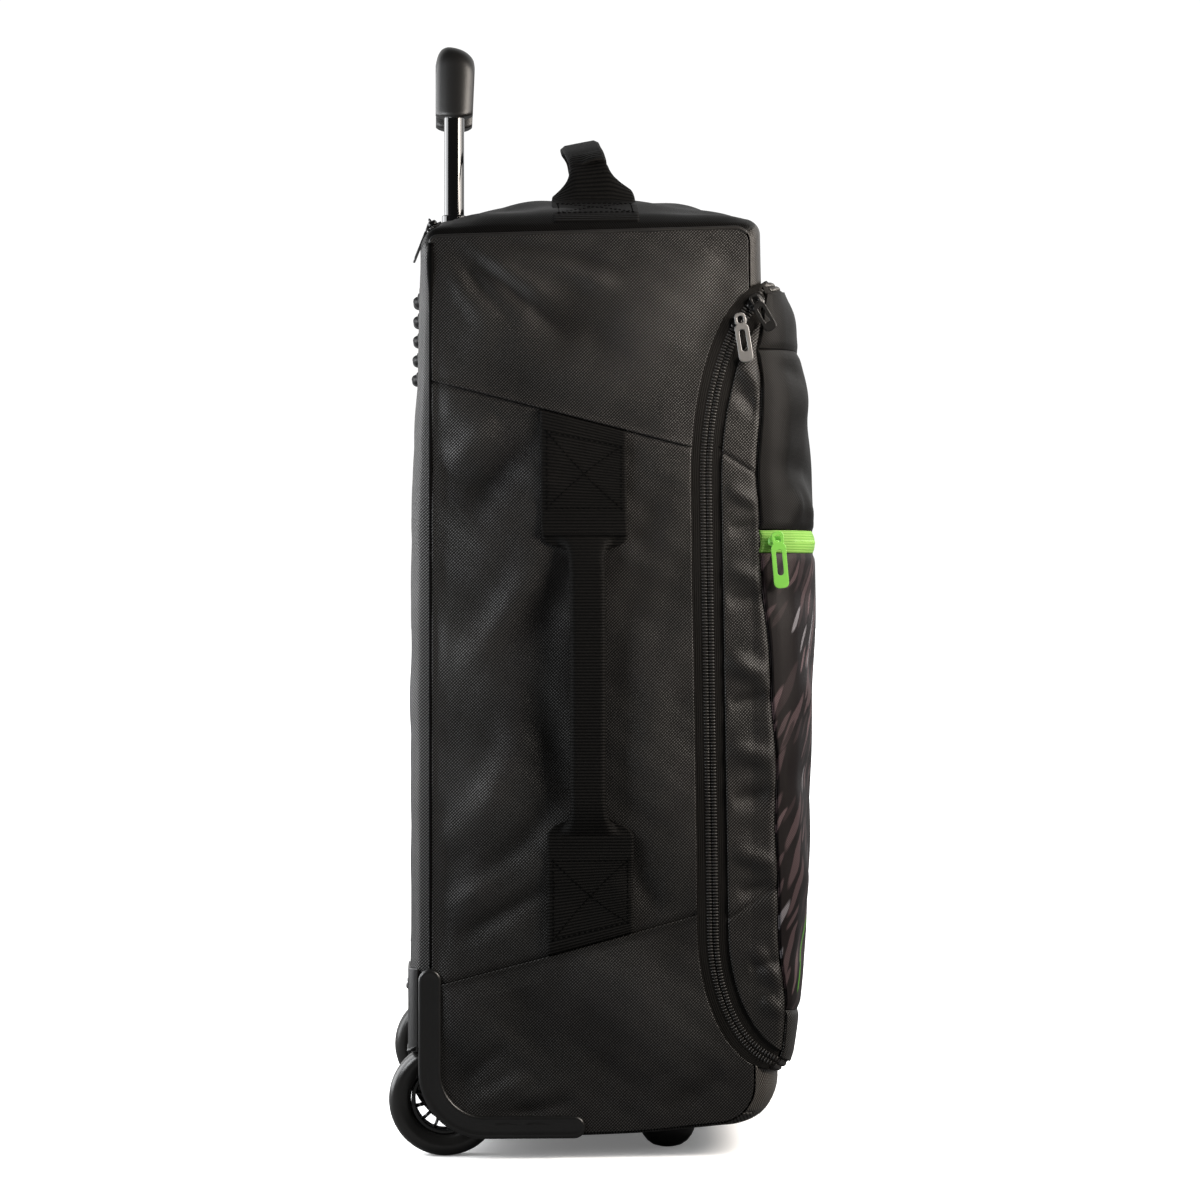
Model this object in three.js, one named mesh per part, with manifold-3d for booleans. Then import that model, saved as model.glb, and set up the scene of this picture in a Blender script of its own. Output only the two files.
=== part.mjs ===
// A wheeled kit bag, standing upright on two wheels and two front feet.
// Millimetres, +Z up, the front of the bag faces -Y and the strap handle is on the -X side.
// "forward" is the distance ahead of the wheel axle, and "near" is the -X side.
import * as THREE from "three";
import { mergeVertices } from "three/addons/utils/BufferGeometryUtils.js";
import Module from "manifold-3d";

const wasm = await Module();
wasm.setup();

// Driving dimensions.
const GAP = 0.3;
const WALL = 2;
const HALF_WIDTH = 175;
const AXLE_Y = 117.5;
const CENTRE_SHIFT = 6.2;
const SIDE_BULGE = 6;
const SIDE_MIDDLE = { forward: 105, z: 336, halfForward: 109, halfHeight: 316 };
const TOP_BACK_Z = 645;
const TOP_FRONT_Z = 652;
const CORNER = { bottomFront: 24, topFront: 9, topBack: 18, bottomBack: 40 };
const SEAM_X = HALF_WIDTH - WALL - GAP;

const WHEEL = { radius: 40, x: 151, axleZ: 40, tyreInner: 24.3, sides: 24 };
const AXLE = { radius: 4, sides: 12, outer: 168, inner: 134 };
const HOUSING = { outerRadius: 48, innerRadius: 44.5, wall: 2.5 };
const FOOT = { x: 117, forward: 159, radius: 20.5, height: 19.7, flatRadius: 9 };

const TUBE = { x: 34, forward: 6.5, radius: 7.4, wall: 1.2, bottom: 300, top: 761, sides: 14 };
const SLEEVE = { outerRadius: 9.2, innerRadius: 7.85, bottom: 28.3, rise: 1.2 };
const GRIP = { halfLength: 48, gapHalf: 23, gapTop: 772 };

// Body sections from the side seam to the middle of the width.
// back, front: faces low down. backTop, frontTop: the same faces near the top.
// frontLift, backLift: rise of the ends of the top edge. crown: extra rise halfway along it.
const BODY_COLUMNS = [
  "x", "back", "backTop", "front", "frontTop", "bottom", "frontLift", "backLift", "crown",
];
const BODY_SECTIONS = [
  [175, -4, -4, 216, 212, 21, 0, 0, 0],
  [171, -15, -10, 224, 217, 20, 3, 6, 2],
  [158, -22.5, -16, 231, 222, 20, 7, 11, 6],
  [90, -23, -16.5, 239, 229, 20, 12, 21, 15],
  [0, -23, -16.5, 241, 231, 20, 13, 24, 20],
].map((row) => Object.fromEntries(row.map((value, i) => [BODY_COLUMNS[i], value])));

// Lid outline from top to bottom. seam: forward at the side seam. crest: forward at mid width.
const LID_PROFILE = [
  { zSide: 614, zMiddle: 622, seam: 221, crest: 232 },
  { zSide: 607, zMiddle: 613, seam: 223, crest: 249 },
  { zSide: 594, zMiddle: 599, seam: 221, crest: 256 },
  { zSide: 556, zMiddle: 556, seam: 219, crest: 264 },
  { zSide: 480, zMiddle: 480, seam: 219, crest: 273 },
  { zSide: 420, zMiddle: 420, seam: 223, crest: 275 },
  { zSide: 320, zMiddle: 320, seam: 228, crest: 270 },
  { zSide: 170, zMiddle: 170, seam: 235, crest: 266 },
  { zSide: 110, zMiddle: 106, seam: 238, crest: 261 },
  { zSide: 78, zMiddle: 66, seam: 236, crest: 254 },
  { zSide: 71, zMiddle: 57, seam: 234, crest: 250 },
  { zSide: 63.5, zMiddle: 50, seam: 227, crest: 238 },
];
const LID_REAR = 140;

// reach: how far the lid front has swelled from seam to crest. arch: the same for its top and bottom.
const LID_SECTIONS = [
  { x: 175, reach: 0, arch: 0 },
  { x: 172, reach: 0.22, arch: 0.08 },
  { x: 162, reach: 0.5, arch: 0.25 },
  { x: 132, reach: 0.78, arch: 0.6 },
  { x: 70, reach: 0.95, arch: 0.92 },
  { x: 0, reach: 1, arch: 1 },
];

// The zip line on the side: a straight rear run with a quarter ellipse at each end.
const OPENING = {
  top: 614, topRise: 8, topStraight: 476, topForward: 226, topReach: 55,
  bottom: 62, bottomDrop: 14, bottomStraight: 161, bottomForward: 230, bottomReach: 54,
};
const ZIP = { tapeWidth: 22, tapeDepth: 0.5, tapeThickness: 1.2 };
const POCKET_ZIP = { top: 441, bottom: 425 };
const POCKET_BOTTOM = 104;
const SIDE_SEAMS = {
  upper: { backForward: -4, backZ: 543.8, frontForward: 171, frontZ: 499 },
  lower: { backForward: 1, backZ: 124, frontForward: 171, frontZ: 170 },
};

const MATERIALS = {
  fabric: { color: 0x2b2c30, roughness: 0.9 },
  satin: { color: 0x34333a, roughness: 0.6 },
  print: { color: 0x3a363d, roughness: 0.8 },
  lime: { color: 0x9fd01c, roughness: 0.6 },
  zip: { color: 0x17181a, roughness: 0.8 },
  webbing: { color: 0x1d1d1f, roughness: 0.9 },
  plastic: { color: 0x18191b, roughness: 0.5 },
  rubber: { color: 0x1f2022, roughness: 0.8 },
  tube: { color: 0x101114, roughness: 0.25, metalness: 0.6 },
  metal: { color: 0xa8abb0, roughness: 0.4, metalness: 0.9 },
};

const group = new THREE.Group();
group.name = "wheeled_kit_bag";
group.position.x = CENTRE_SHIFT;

// Turning geometry into solids and back.
function place(x, forward, z) {
  return new THREE.Vector3(x, AXLE_Y - forward, z);
}

function solidOf(geometry) {
  const bare = geometry.clone();
  bare.deleteAttribute("normal");
  bare.deleteAttribute("uv");
  const merged = mergeVertices(bare, 1e-4);
  const mesh = new wasm.Mesh({
    numProp: 3,
    vertProperties: new Float32Array(merged.attributes.position.array),
    triVerts: new Uint32Array(merged.index.array),
  });
  return new wasm.Manifold(mesh);
}

function addPiece(name, solid, material) {
  const mesh = solid.getMesh();
  const geometry = new THREE.BufferGeometry();
  geometry.setAttribute("position", new THREE.BufferAttribute(new Float32Array(mesh.vertProperties), 3));
  geometry.setIndex(new THREE.BufferAttribute(new Uint32Array(mesh.triVerts), 1));
  geometry.computeVertexNormals();
  const piece = new THREE.Mesh(geometry, new THREE.MeshStandardMaterial(MATERIALS[material]));
  piece.name = name;
  group.add(piece);
}

function addPair(name, nearSolid, material) {
  addPiece(`${name}_left`, nearSolid, material);
  addPiece(`${name}_right`, mirrored(nearSolid), material);
}

// The same solid on the other side of the bag.
function mirrored(solid) {
  const mesh = solid.getMesh();
  const geometry = new THREE.BufferGeometry();
  geometry.setAttribute("position", new THREE.BufferAttribute(new Float32Array(mesh.vertProperties), 3));
  geometry.setIndex(Array.from(mesh.triVerts).reverse());
  return solidOf(geometry.scale(-1, 1, 1));
}

function signedVolume(points, triangles) {
  let volume = 0;
  for (const [a, b, c] of triangles) {
    volume += points[a].dot(new THREE.Vector3().crossVectors(points[b], points[c])) / 6;
  }
  return volume;
}

// Skins a stack of equal rings of points and closes both ends to a point.
function solidFromRings(rings, first, last) {
  const count = rings[0].length;
  const points = [first, ...rings.flat(), last];
  const triangles = [];
  const at = (ring, i) => 1 + ring * count + (i % count);
  for (let i = 0; i < count; i += 1) {
    triangles.push([0, at(0, i + 1), at(0, i)]);
    triangles.push([points.length - 1, at(rings.length - 1, i), at(rings.length - 1, i + 1)]);
    for (let ring = 0; ring + 1 < rings.length; ring += 1) {
      triangles.push([at(ring, i), at(ring, i + 1), at(ring + 1, i + 1)]);
      triangles.push([at(ring, i), at(ring + 1, i + 1), at(ring + 1, i)]);
    }
  }
  return solidFromTriangles(points, triangles);
}

// The same for rings that run round in a closed circuit.
function solidFromLoop(rings) {
  const count = rings[0].length;
  const points = rings.flat();
  const at = (ring, i) => (ring % rings.length) * count + (i % count);
  const triangles = [];
  for (let ring = 0; ring < rings.length; ring += 1) {
    for (let i = 0; i < count; i += 1) {
      triangles.push([at(ring, i), at(ring, i + 1), at(ring + 1, i + 1)]);
      triangles.push([at(ring, i), at(ring + 1, i + 1), at(ring + 1, i)]);
    }
  }
  return solidFromTriangles(points, triangles);
}

function solidFromTriangles(points, triangles) {
  if (signedVolume(points, triangles) < 0) {
    triangles.forEach((triangle) => triangle.reverse());
  }
  const geometry = new THREE.BufferGeometry();
  geometry.setFromPoints(points);
  geometry.setIndex(triangles.flat());
  return solidOf(geometry);
}

function middleOf(ring) {
  const sum = ring.reduce((total, point) => total.add(point), new THREE.Vector3());
  return sum.divideScalar(ring.length);
}

function solidFromSections(rings) {
  return solidFromRings(rings, middleOf(rings[0]), middleOf(rings[rings.length - 1]));
}

// A side-view shape (forward, z) drawn out across the width from x0 to x1.
function sidePrism(shape, x0, x1, curveSegments = 8) {
  const geometry = new THREE.ExtrudeGeometry(shape, { depth: x1 - x0, bevelEnabled: false, curveSegments });
  const turn = new THREE.Matrix4().set(0, 0, -1, x1, -1, 0, 0, AXLE_Y, 0, 1, 0, 0, 0, 0, 0, 1);
  return solidOf(geometry.applyMatrix4(turn));
}

function slab(x0, x1, forward0, forward1, z0, z1) {
  const geometry = new THREE.BoxGeometry(x1 - x0, forward1 - forward0, z1 - z0);
  const middle = place((x0 + x1) / 2, (forward0 + forward1) / 2, (z0 + z1) / 2);
  return solidOf(geometry.translate(middle.x, middle.y, middle.z));
}

// A cylinder across the width.
function crossCylinder(radius, x0, x1, forward, z, sides) {
  const geometry = new THREE.CylinderGeometry(radius, radius, x1 - x0, sides);
  geometry.rotateZ(Math.PI / 2);
  const middle = place((x0 + x1) / 2, forward, z);
  return solidOf(geometry.translate(middle.x, middle.y, middle.z));
}

function uprightCylinder(radius, x, forward, z0, z1, sides) {
  const geometry = new THREE.CylinderGeometry(radius, radius, z1 - z0, sides);
  geometry.rotateX(Math.PI / 2);
  const middle = place(x, forward, (z0 + z1) / 2);
  return solidOf(geometry.translate(middle.x, middle.y, middle.z));
}

// Side-view loops, anticlockwise with forward to the right and z up.
function arcPoints(forward, z, radius, startDegrees, endDegrees, steps) {
  const points = [];
  for (let i = 0; i <= steps; i += 1) {
    const angle = THREE.MathUtils.degToRad(startDegrees + ((endDegrees - startDegrees) * i) / steps);
    points.push({ forward: forward + radius * Math.cos(angle), z: z + radius * Math.sin(angle) });
  }
  return points;
}

function betweenPoints(steps, pointAt) {
  const points = [];
  for (let i = 1; i < steps; i += 1) {
    points.push(pointAt(i / steps));
  }
  return points;
}

function insetLoop(loop, distance) {
  return loop.map((point, i) => {
    const before = loop[(i + loop.length - 1) % loop.length];
    const after = loop[(i + 1) % loop.length];
    const inward = [before, after].map((other, side) => {
      const from = side === 0 ? before : point;
      const to = side === 0 ? point : after;
      const length = Math.hypot(to.forward - from.forward, to.z - from.z);
      return { forward: -(to.z - from.z) / length, z: (to.forward - from.forward) / length };
    });
    const sum = { forward: inward[0].forward + inward[1].forward, z: inward[0].z + inward[1].z };
    const scale = 2 / (sum.forward ** 2 + sum.z ** 2);
    return {
      forward: point.forward + sum.forward * scale * distance,
      z: point.z + sum.z * scale * distance,
    };
  });
}

function sideBulge(forward, z) {
  const across = (forward - SIDE_MIDDLE.forward) / SIDE_MIDDLE.halfForward;
  const up = (z - SIDE_MIDDLE.z) / SIDE_MIDDLE.halfHeight;
  return SIDE_BULGE * Math.max(0, 1 - across ** 4) * Math.max(0, 1 - up ** 4);
}

function archShape(t) {
  return 1 - Math.abs(2 * t - 1) ** 3;
}

function topEdge(section, t) {
  const forward = THREE.MathUtils.lerp(
    section.frontTop - CORNER.topFront, section.backTop + CORNER.topBack, t);
  const z = THREE.MathUtils.lerp(TOP_FRONT_Z + section.frontLift, TOP_BACK_Z + section.backLift, t);
  return { forward, z: z + section.crown * archShape(t) };
}

function backEdge(section, t) {
  const top = TOP_BACK_Z + section.backLift - CORNER.topBack;
  const bottom = section.bottom + CORNER.bottomBack;
  const z = THREE.MathUtils.lerp(top, bottom, t);
  const blend = THREE.MathUtils.smoothstep(z, 430, 600);
  return { forward: THREE.MathUtils.lerp(section.back, section.backTop, blend), z };
}

function bodyOutline(section) {
  const frontTop = TOP_FRONT_Z + section.frontLift - CORNER.topFront;
  const frontBottom = section.bottom + CORNER.bottomFront;
  return [
    ...arcPoints(section.front - CORNER.bottomFront, frontBottom, CORNER.bottomFront, -90, 0, 3),
    ...betweenPoints(2, (t) => ({
      forward: THREE.MathUtils.lerp(section.front, section.frontTop, t),
      z: THREE.MathUtils.lerp(frontBottom, frontTop, t),
    })),
    ...arcPoints(section.frontTop - CORNER.topFront, frontTop, CORNER.topFront, 0, 90, 2),
    ...betweenPoints(5, (t) => topEdge(section, t)),
    ...arcPoints(section.backTop + CORNER.topBack, TOP_BACK_Z + section.backLift - CORNER.topBack,
      CORNER.topBack, 90, 180, 3),
    ...betweenPoints(4, (t) => backEdge(section, t)),
    ...arcPoints(section.back + CORNER.bottomBack, section.bottom + CORNER.bottomBack,
      CORNER.bottomBack, 180, 270, 4),
    ...betweenPoints(2, (t) => ({
      forward: THREE.MathUtils.lerp(section.back + CORNER.bottomBack, section.front - CORNER.bottomFront, t),
      z: section.bottom,
    })),
  ];
}

function lidOutline(section) {
  const front = LID_PROFILE.map((row) => ({
    forward: THREE.MathUtils.lerp(row.seam, row.crest, section.reach),
    z: THREE.MathUtils.lerp(row.zSide, row.zMiddle, section.arch),
  }));
  const top = front[0];
  const bottom = front[front.length - 1];
  const rear = betweenPoints(4, (t) => ({
    forward: LID_REAR, z: THREE.MathUtils.lerp(top.z, bottom.z, t),
  }));
  return [{ forward: LID_REAR, z: bottom.z }, ...front.reverse(), { forward: LID_REAR, z: top.z }, ...rear];
}

// Sections on both sides of the middle with a domed end on each side.
function swelledForm(sections, outlineOf, inset) {
  const loops = sections.map((section) => insetLoop(outlineOf(section), inset));
  const sideLoop = loops[0];
  const middle = {
    forward: sideLoop.reduce((sum, point) => sum + point.forward, 0) / sideLoop.length,
    z: sideLoop.reduce((sum, point) => sum + point.z, 0) / sideLoop.length,
  };
  const domeRing = (side, scale) => sideLoop.map((point) => {
    const forward = THREE.MathUtils.lerp(middle.forward, point.forward, scale);
    const z = THREE.MathUtils.lerp(middle.z, point.z, scale);
    const x = HALF_WIDTH - inset + sideBulge(forward, z) * (1 - scale ** 8);
    return place(side * x, forward, z);
  });
  const flatRing = (side, i) => loops[i].map((p) => place(side * (sections[i].x - inset), p.forward, p.z));
  const domeScales = [0.62, 0.92];
  const last = sections.length - 1;
  const nearHalf = sections.map((_, i) => flatRing(-1, i));
  const farHalf = sections.slice(0, last).map((_, i) => flatRing(1, i)).reverse();
  const rings = [
    ...domeScales.map((scale) => domeRing(-1, scale)),
    ...nearHalf,
    ...farHalf,
    ...domeScales.map((scale) => domeRing(1, scale)).reverse(),
  ];
  const tip = HALF_WIDTH - inset + sideBulge(middle.forward, middle.z);
  return solidFromRings(rings, place(-tip, middle.forward, middle.z), place(tip, middle.forward, middle.z));
}

const bodyForm = (inset) => swelledForm(BODY_SECTIONS, bodyOutline, inset);
const lidForm = (inset) => swelledForm(LID_SECTIONS, lidOutline, inset);

// The zip line moved forward by shift, as a solid right across the bag.
// Beyond flareForward it opens out so that all of the lid front falls inside.
function openingForm(shift) {
  const far = 400;
  const flareForward = shift > 1 ? 238 + 0.75 * shift : 390;
  const edge = shift > 0 ? GAP + 0.4 * shift : 0;
  const ringAt = (x, arch) => {
    const top = OPENING.top + OPENING.topRise * arch - edge;
    const bottom = OPENING.bottom - OPENING.bottomDrop * arch + edge;
    const quarter = (startDegrees, forward, z, reach, height, steps) => {
      const points = arcPoints(0, 0, 1, startDegrees, startDegrees - 90, steps);
      return points.map((p) => ({ forward: forward + shift + reach * p.forward, z: z + height * p.z }));
    };
    const loop = [
      { forward: far, z: -60 },
      { forward: flareForward, z: -60 },
      { forward: flareForward, z: bottom },
      ...quarter(270, OPENING.bottomForward, OPENING.bottomStraight, OPENING.bottomReach,
        OPENING.bottomStraight - bottom, 5),
      ...quarter(180, OPENING.topForward, OPENING.topStraight, OPENING.topReach,
        top - OPENING.topStraight, 5),
      { forward: flareForward, z: top },
      { forward: flareForward, z: 720 },
      { forward: far, z: 720 },
    ];
    return loop.map((p) => place(x, p.forward, p.z));
  };
  const half = [{ x: 210, arch: 0 }, ...LID_SECTIONS.filter((section) => section.x !== 172)];
  const rings = [
    ...half.map((section) => ringAt(-section.x, section.arch)),
    ...half.slice(0, -1).map((section) => ringAt(section.x, section.arch)).reverse(),
  ];
  return solidFromRings(rings, place(-210, 320, 338), place(210, 320, 338));
}

// A convex side-view region right across the bag, drawn in by half a gap.
function regionPrism(corners) {
  const loop = insetLoop(corners, GAP / 2);
  const shape = new THREE.Shape(loop.map((p) => new THREE.Vector2(p.forward, p.z)));
  return sidePrism(shape, -260, 260);
}

// Body shell and its panels.
const bodyOuter = bodyForm(0);
const bodyClear = bodyForm(-GAP);
const openingCut = openingForm(0);
const wellCutNear = crossCylinder(HOUSING.outerRadius + GAP, -SEAM_X - 0.15, -AXLE.inner + GAP,
  0, WHEEL.axleZ, WHEEL.sides);
const handleHole = uprightCylinder(SLEEVE.outerRadius + 0.4, -TUBE.x, TUBE.forward, 560, 760, TUBE.sides);
const bodyShell = bodyOuter
  .subtract(bodyForm(WALL))
  .subtract(openingCut)
  .subtract(wellCutNear)
  .subtract(mirrored(wellCutNear))
  .subtract(handleHole)
  .subtract(mirrored(handleHole));

const insideSeams = slab(-SEAM_X + GAP / 2, SEAM_X - GAP / 2, -400, 400, -100, 900);
const nearOfSeam = slab(-400, -SEAM_X - GAP / 2, -400, 400, -100, 900);
const wrapPanels = bodyShell.intersect(insideSeams);
const nearSide = bodyShell.intersect(nearOfSeam);

const CORNER_OUT = {
  topBack: { forward: -80, z: 622 },
  topFront: { forward: 300, z: 726 },
  bottomFront: { forward: 300, z: -30 },
  bottomBack: { forward: -80, z: -60 },
};
const CORNER_IN = {
  topBack: { forward: 40, z: 636 },
  topFront: { forward: 150, z: 560 },
  bottomFront: { forward: 150, z: 110 },
  bottomBack: { forward: 40, z: 110 },
};
const topRegion = regionPrism([
  CORNER_IN.topBack, CORNER_IN.topFront, CORNER_OUT.topFront,
  { forward: 300, z: 800 }, { forward: -80, z: 800 }, CORNER_OUT.topBack,
]);
const frontRegion = regionPrism([
  CORNER_IN.bottomFront, CORNER_OUT.bottomFront, CORNER_OUT.topFront, CORNER_IN.topFront,
]);
const baseRegion = regionPrism([
  CORNER_OUT.bottomBack, CORNER_OUT.bottomFront, CORNER_IN.bottomFront, CORNER_IN.bottomBack,
]);
const backRegion = regionPrism([
  CORNER_OUT.bottomBack, CORNER_IN.bottomBack, CORNER_IN.topBack, CORNER_OUT.topBack,
]);
const frontStrips = wrapPanels.intersect(frontRegion);
addPiece("back_panel", wrapPanels.intersect(backRegion), "fabric");
addPiece("top_panel", wrapPanels.intersect(topRegion), "fabric");
addPiece("base_panel", wrapPanels.intersect(baseRegion), "fabric");
addPiece("front_panel_upper", frontStrips.intersect(slab(-300, 300, -400, 400, 400, 900)), "fabric");
addPiece("front_panel_lower", frontStrips.intersect(slab(-300, 300, -400, 400, -100, 300)), "fabric");

function seamZ(seam, forward) {
  const slope = (seam.frontZ - seam.backZ) / (seam.frontForward - seam.backForward);
  return seam.backZ + slope * (forward - seam.backForward);
}
const seamEnds = { back: -60, front: 300 };
const upperBack = { forward: seamEnds.back, z: seamZ(SIDE_SEAMS.upper, seamEnds.back) };
const upperFront = { forward: seamEnds.front, z: seamZ(SIDE_SEAMS.upper, seamEnds.front) };
const lowerBack = { forward: seamEnds.back, z: seamZ(SIDE_SEAMS.lower, seamEnds.back) };
const lowerFront = { forward: seamEnds.front, z: seamZ(SIDE_SEAMS.lower, seamEnds.front) };
const upperRegion = regionPrism([
  upperBack, upperFront, { forward: seamEnds.front, z: 900 }, { forward: seamEnds.back, z: 900 },
]);
const middleRegion = regionPrism([upperBack, lowerBack, lowerFront, upperFront]);
const lowerRegion = regionPrism([
  { forward: seamEnds.back, z: -100 }, { forward: seamEnds.front, z: -100 }, lowerFront, lowerBack,
]);
addPair("side_upper", nearSide.intersect(upperRegion), "fabric");
addPair("side_middle", nearSide.intersect(middleRegion), "fabric");
addPair("side_lower", nearSide.intersect(lowerRegion), "fabric");

// Piping laid along the side seams, from the guard up the back and over the top to the zip.
const PIPING = { radius: 1.9, stand: 2.3, outset: 0.8, bottom: 137 };
function pipingRun() {
  const outline = insetLoop(bodyOutline(BODY_SECTIONS[0]), -PIPING.outset);
  const kept = outline.filter((p) => p.z > 150 && (p.forward < 150 || p.z > 625));
  kept.push({ forward: kept[kept.length - 1].forward, z: PIPING.bottom });
  const points = kept.map((p) => place(-HALF_WIDTH - PIPING.stand, p.forward, p.z));
  const path = new THREE.CatmullRomCurve3(points, false, "centripetal");
  path.getUtoTmapping = (share) => share;
  const round = new THREE.Shape().absarc(0, 0, PIPING.radius, 0, 2 * Math.PI);
  const steps = points.length - 1;
  return solidOf(new THREE.ExtrudeGeometry(round, { steps, extrudePath: path, curveSegments: 3 }));
}
addPair("piping", pipingRun(), "fabric");

// Lid: a hollow tray whose open back meets the body along the zip.
const openingClear = openingForm(GAP);
const lidEdge = openingForm(ZIP.tapeWidth + GAP);
function lidLayer(outerInset, innerInset) {
  return lidForm(outerInset).subtract(lidForm(innerInset));
}
const lidWall = lidLayer(0, WALL).intersect(lidEdge);
const lidFront = lidWall.intersect(insideSeams);
addPair("lid_gusset", lidWall.intersect(nearOfSeam), "fabric");
const acrossBand = (z0, z1) => slab(-300, 300, -400, 400, z0, z1);
const half = GAP / 2;
addPiece("lid_upper_panel", lidFront.intersect(acrossBand(POCKET_ZIP.top + half, 900)), "satin");
const pocketZipBand = acrossBand(POCKET_ZIP.bottom + half, POCKET_ZIP.top - half);
const pocketBand = acrossBand(POCKET_BOTTOM + half, POCKET_ZIP.bottom - half);
addPiece("pocket_zip", lidFront.intersect(pocketZipBand), "lime");
addPiece("pocket_panel", lidFront.intersect(pocketBand), "print");
addPiece("lid_lower_panel", lidFront.intersect(acrossBand(-100, POCKET_BOTTOM - half)), "fabric");

// Main zip: tape runs at both sides and across the top and bottom of the lid, and the chain on them.
const sideTape = lidLayer(ZIP.tapeDepth, ZIP.tapeDepth + ZIP.tapeThickness)
  .intersect(nearOfSeam)
  .intersect(openingClear)
  .subtract(openingForm(ZIP.tapeWidth));
addPair("zip_tape", sideTape, "zip");

// The sloping rim between two neighbouring rows of the lid outline, at one section.
function rimAt(section, rowA, rowB) {
  const [a, b] = [rowA, rowB].map((row) => ({
    forward: THREE.MathUtils.lerp(row.seam, row.crest, section.reach),
    z: THREE.MathUtils.lerp(row.zSide, row.zMiddle, section.arch),
  }));
  const length = Math.hypot(b.forward - a.forward, b.z - a.z);
  const upward = Math.sign(a.z - 338);
  const out = { forward: (upward * (a.z - b.z)) / length, z: (upward * (b.forward - a.forward)) / length };
  return (share, rise) => ({
    forward: THREE.MathUtils.lerp(a.forward, b.forward, share) + out.forward * rise,
    z: THREE.MathUtils.lerp(a.z, b.z, share) + out.z * rise,
  });
}

const RIM_SECTIONS = LID_SECTIONS.slice(1);
const TOP_RIM = [LID_PROFILE[0], LID_PROFILE[1]];
const BOTTOM_RIM = [LID_PROFILE[LID_PROFILE.length - 1], LID_PROFILE[LID_PROFILE.length - 2]];
function rimTape(rim) {
  const low = -ZIP.tapeDepth - ZIP.tapeThickness;
  const corners = [[0.02, low], [0.8, low], [0.9, -ZIP.tapeDepth], [0.02, -ZIP.tapeDepth]];
  const ringAt = (section, side) => corners.map(([share, rise]) => {
    const at = rimAt(section, rim[0], rim[1])(share, rise);
    return place(side * section.x, at.forward, at.z);
  });
  const rings = [
    ...RIM_SECTIONS.map((section) => ringAt(section, -1)),
    ...RIM_SECTIONS.slice(0, -1).map((section) => ringAt(section, 1)).reverse(),
  ];
  return solidFromSections(rings);
}
addPiece("zip_tape_top", rimTape(TOP_RIM), "zip");
addPiece("zip_tape_bottom", rimTape(BOTTOM_RIM), "zip");

// The chain: a flat ridge swept round the zip line, on both sides and across the lid.
const CHAIN = { half: 4, low: GAP, high: 2.2, shift: ZIP.tapeWidth / 2 };
const CHAIN_TURNS = [180, 163, 147, 131, 115];
function chainOnSide(end, degrees) {
  const height = end === "top" ? OPENING.top - OPENING.topStraight : OPENING.bottom - OPENING.bottomStraight;
  const angle = THREE.MathUtils.degToRad(degrees);
  const forward = OPENING[`${end}Forward`] + CHAIN.shift + OPENING[`${end}Reach`] * Math.cos(angle);
  const z = OPENING[`${end}Straight`] + (height - 3 * Math.sign(height)) * Math.sin(angle);
  return chainOnFlat(forward, z);
}

function chainOnFlat(forward, z) {
  const x = -(HALF_WIDTH + sideBulge(forward, z));
  return { point: place(x, forward, z), out: new THREE.Vector3(-1, 0, 0) };
}

function chainStraight() {
  const low = OPENING.bottomForward - OPENING.bottomReach + CHAIN.shift;
  const high = OPENING.topForward - OPENING.topReach + CHAIN.shift;
  return betweenPoints(4, (t) => chainOnFlat(
    THREE.MathUtils.lerp(low, high, t),
    THREE.MathUtils.lerp(OPENING.bottomStraight, OPENING.topStraight, t)));
}

function chainOnRim(section, rim) {
  const rimPoint = rimAt(section, rim[0], rim[1]);
  const at = rimPoint(0.5, 0.8);
  const above = rimPoint(0.5, 1.8);
  return {
    point: place(-section.x, at.forward, at.z),
    out: new THREE.Vector3(0, at.forward - above.forward, above.z - at.z),
  };
}

// Where the zip turns from the side onto the rim.
function chainOnCorner(rim) {
  const rimPoint = rimAt(LID_SECTIONS[0], rim[0], rim[1]);
  const at = rimPoint(0.5, 0.9);
  const above = rimPoint(0.5, 1.9);
  const out = new THREE.Vector3(-1, at.forward - above.forward, above.z - at.z).normalize();
  return { point: place(-HALF_WIDTH - 0.9, at.forward, at.z), out };
}

function zipChainSolid() {
  const nearHalf = [
    ...RIM_SECTIONS.map((section) => chainOnRim(section, BOTTOM_RIM)).reverse(),
    chainOnCorner(BOTTOM_RIM),
    ...CHAIN_TURNS.map((degrees) => chainOnSide("bottom", degrees)).reverse(),
    ...chainStraight(),
    ...CHAIN_TURNS.map((degrees) => chainOnSide("top", degrees)),
    chainOnCorner(TOP_RIM),
    ...RIM_SECTIONS.map((section) => chainOnRim(section, TOP_RIM)),
  ];
  const other = new THREE.Vector3(-1, 1, 1);
  const farHalf = nearHalf.slice(1, -1).reverse().map((row) => (
    { point: row.point.clone().multiply(other), out: row.out.clone().multiply(other) }));
  const path = [...nearHalf, ...farHalf];
  const rings = path.map((row, i) => {
    const before = path[(i + path.length - 1) % path.length].point;
    const after = path[(i + 1) % path.length].point;
    const across = new THREE.Vector3().crossVectors(row.out, after.clone().sub(before)).normalize();
    const corner = (side, rise) => row.point.clone()
      .addScaledVector(across, side * CHAIN.half).addScaledVector(row.out, rise);
    return [corner(-1, CHAIN.low), corner(1, CHAIN.low), corner(1, CHAIN.high), corner(-1, CHAIN.high)];
  });
  return solidFromLoop(rings).subtract(bodyClear.intersect(insideSeams));
}
addPiece("zip_chain", zipChainSolid(), "zip");

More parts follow.
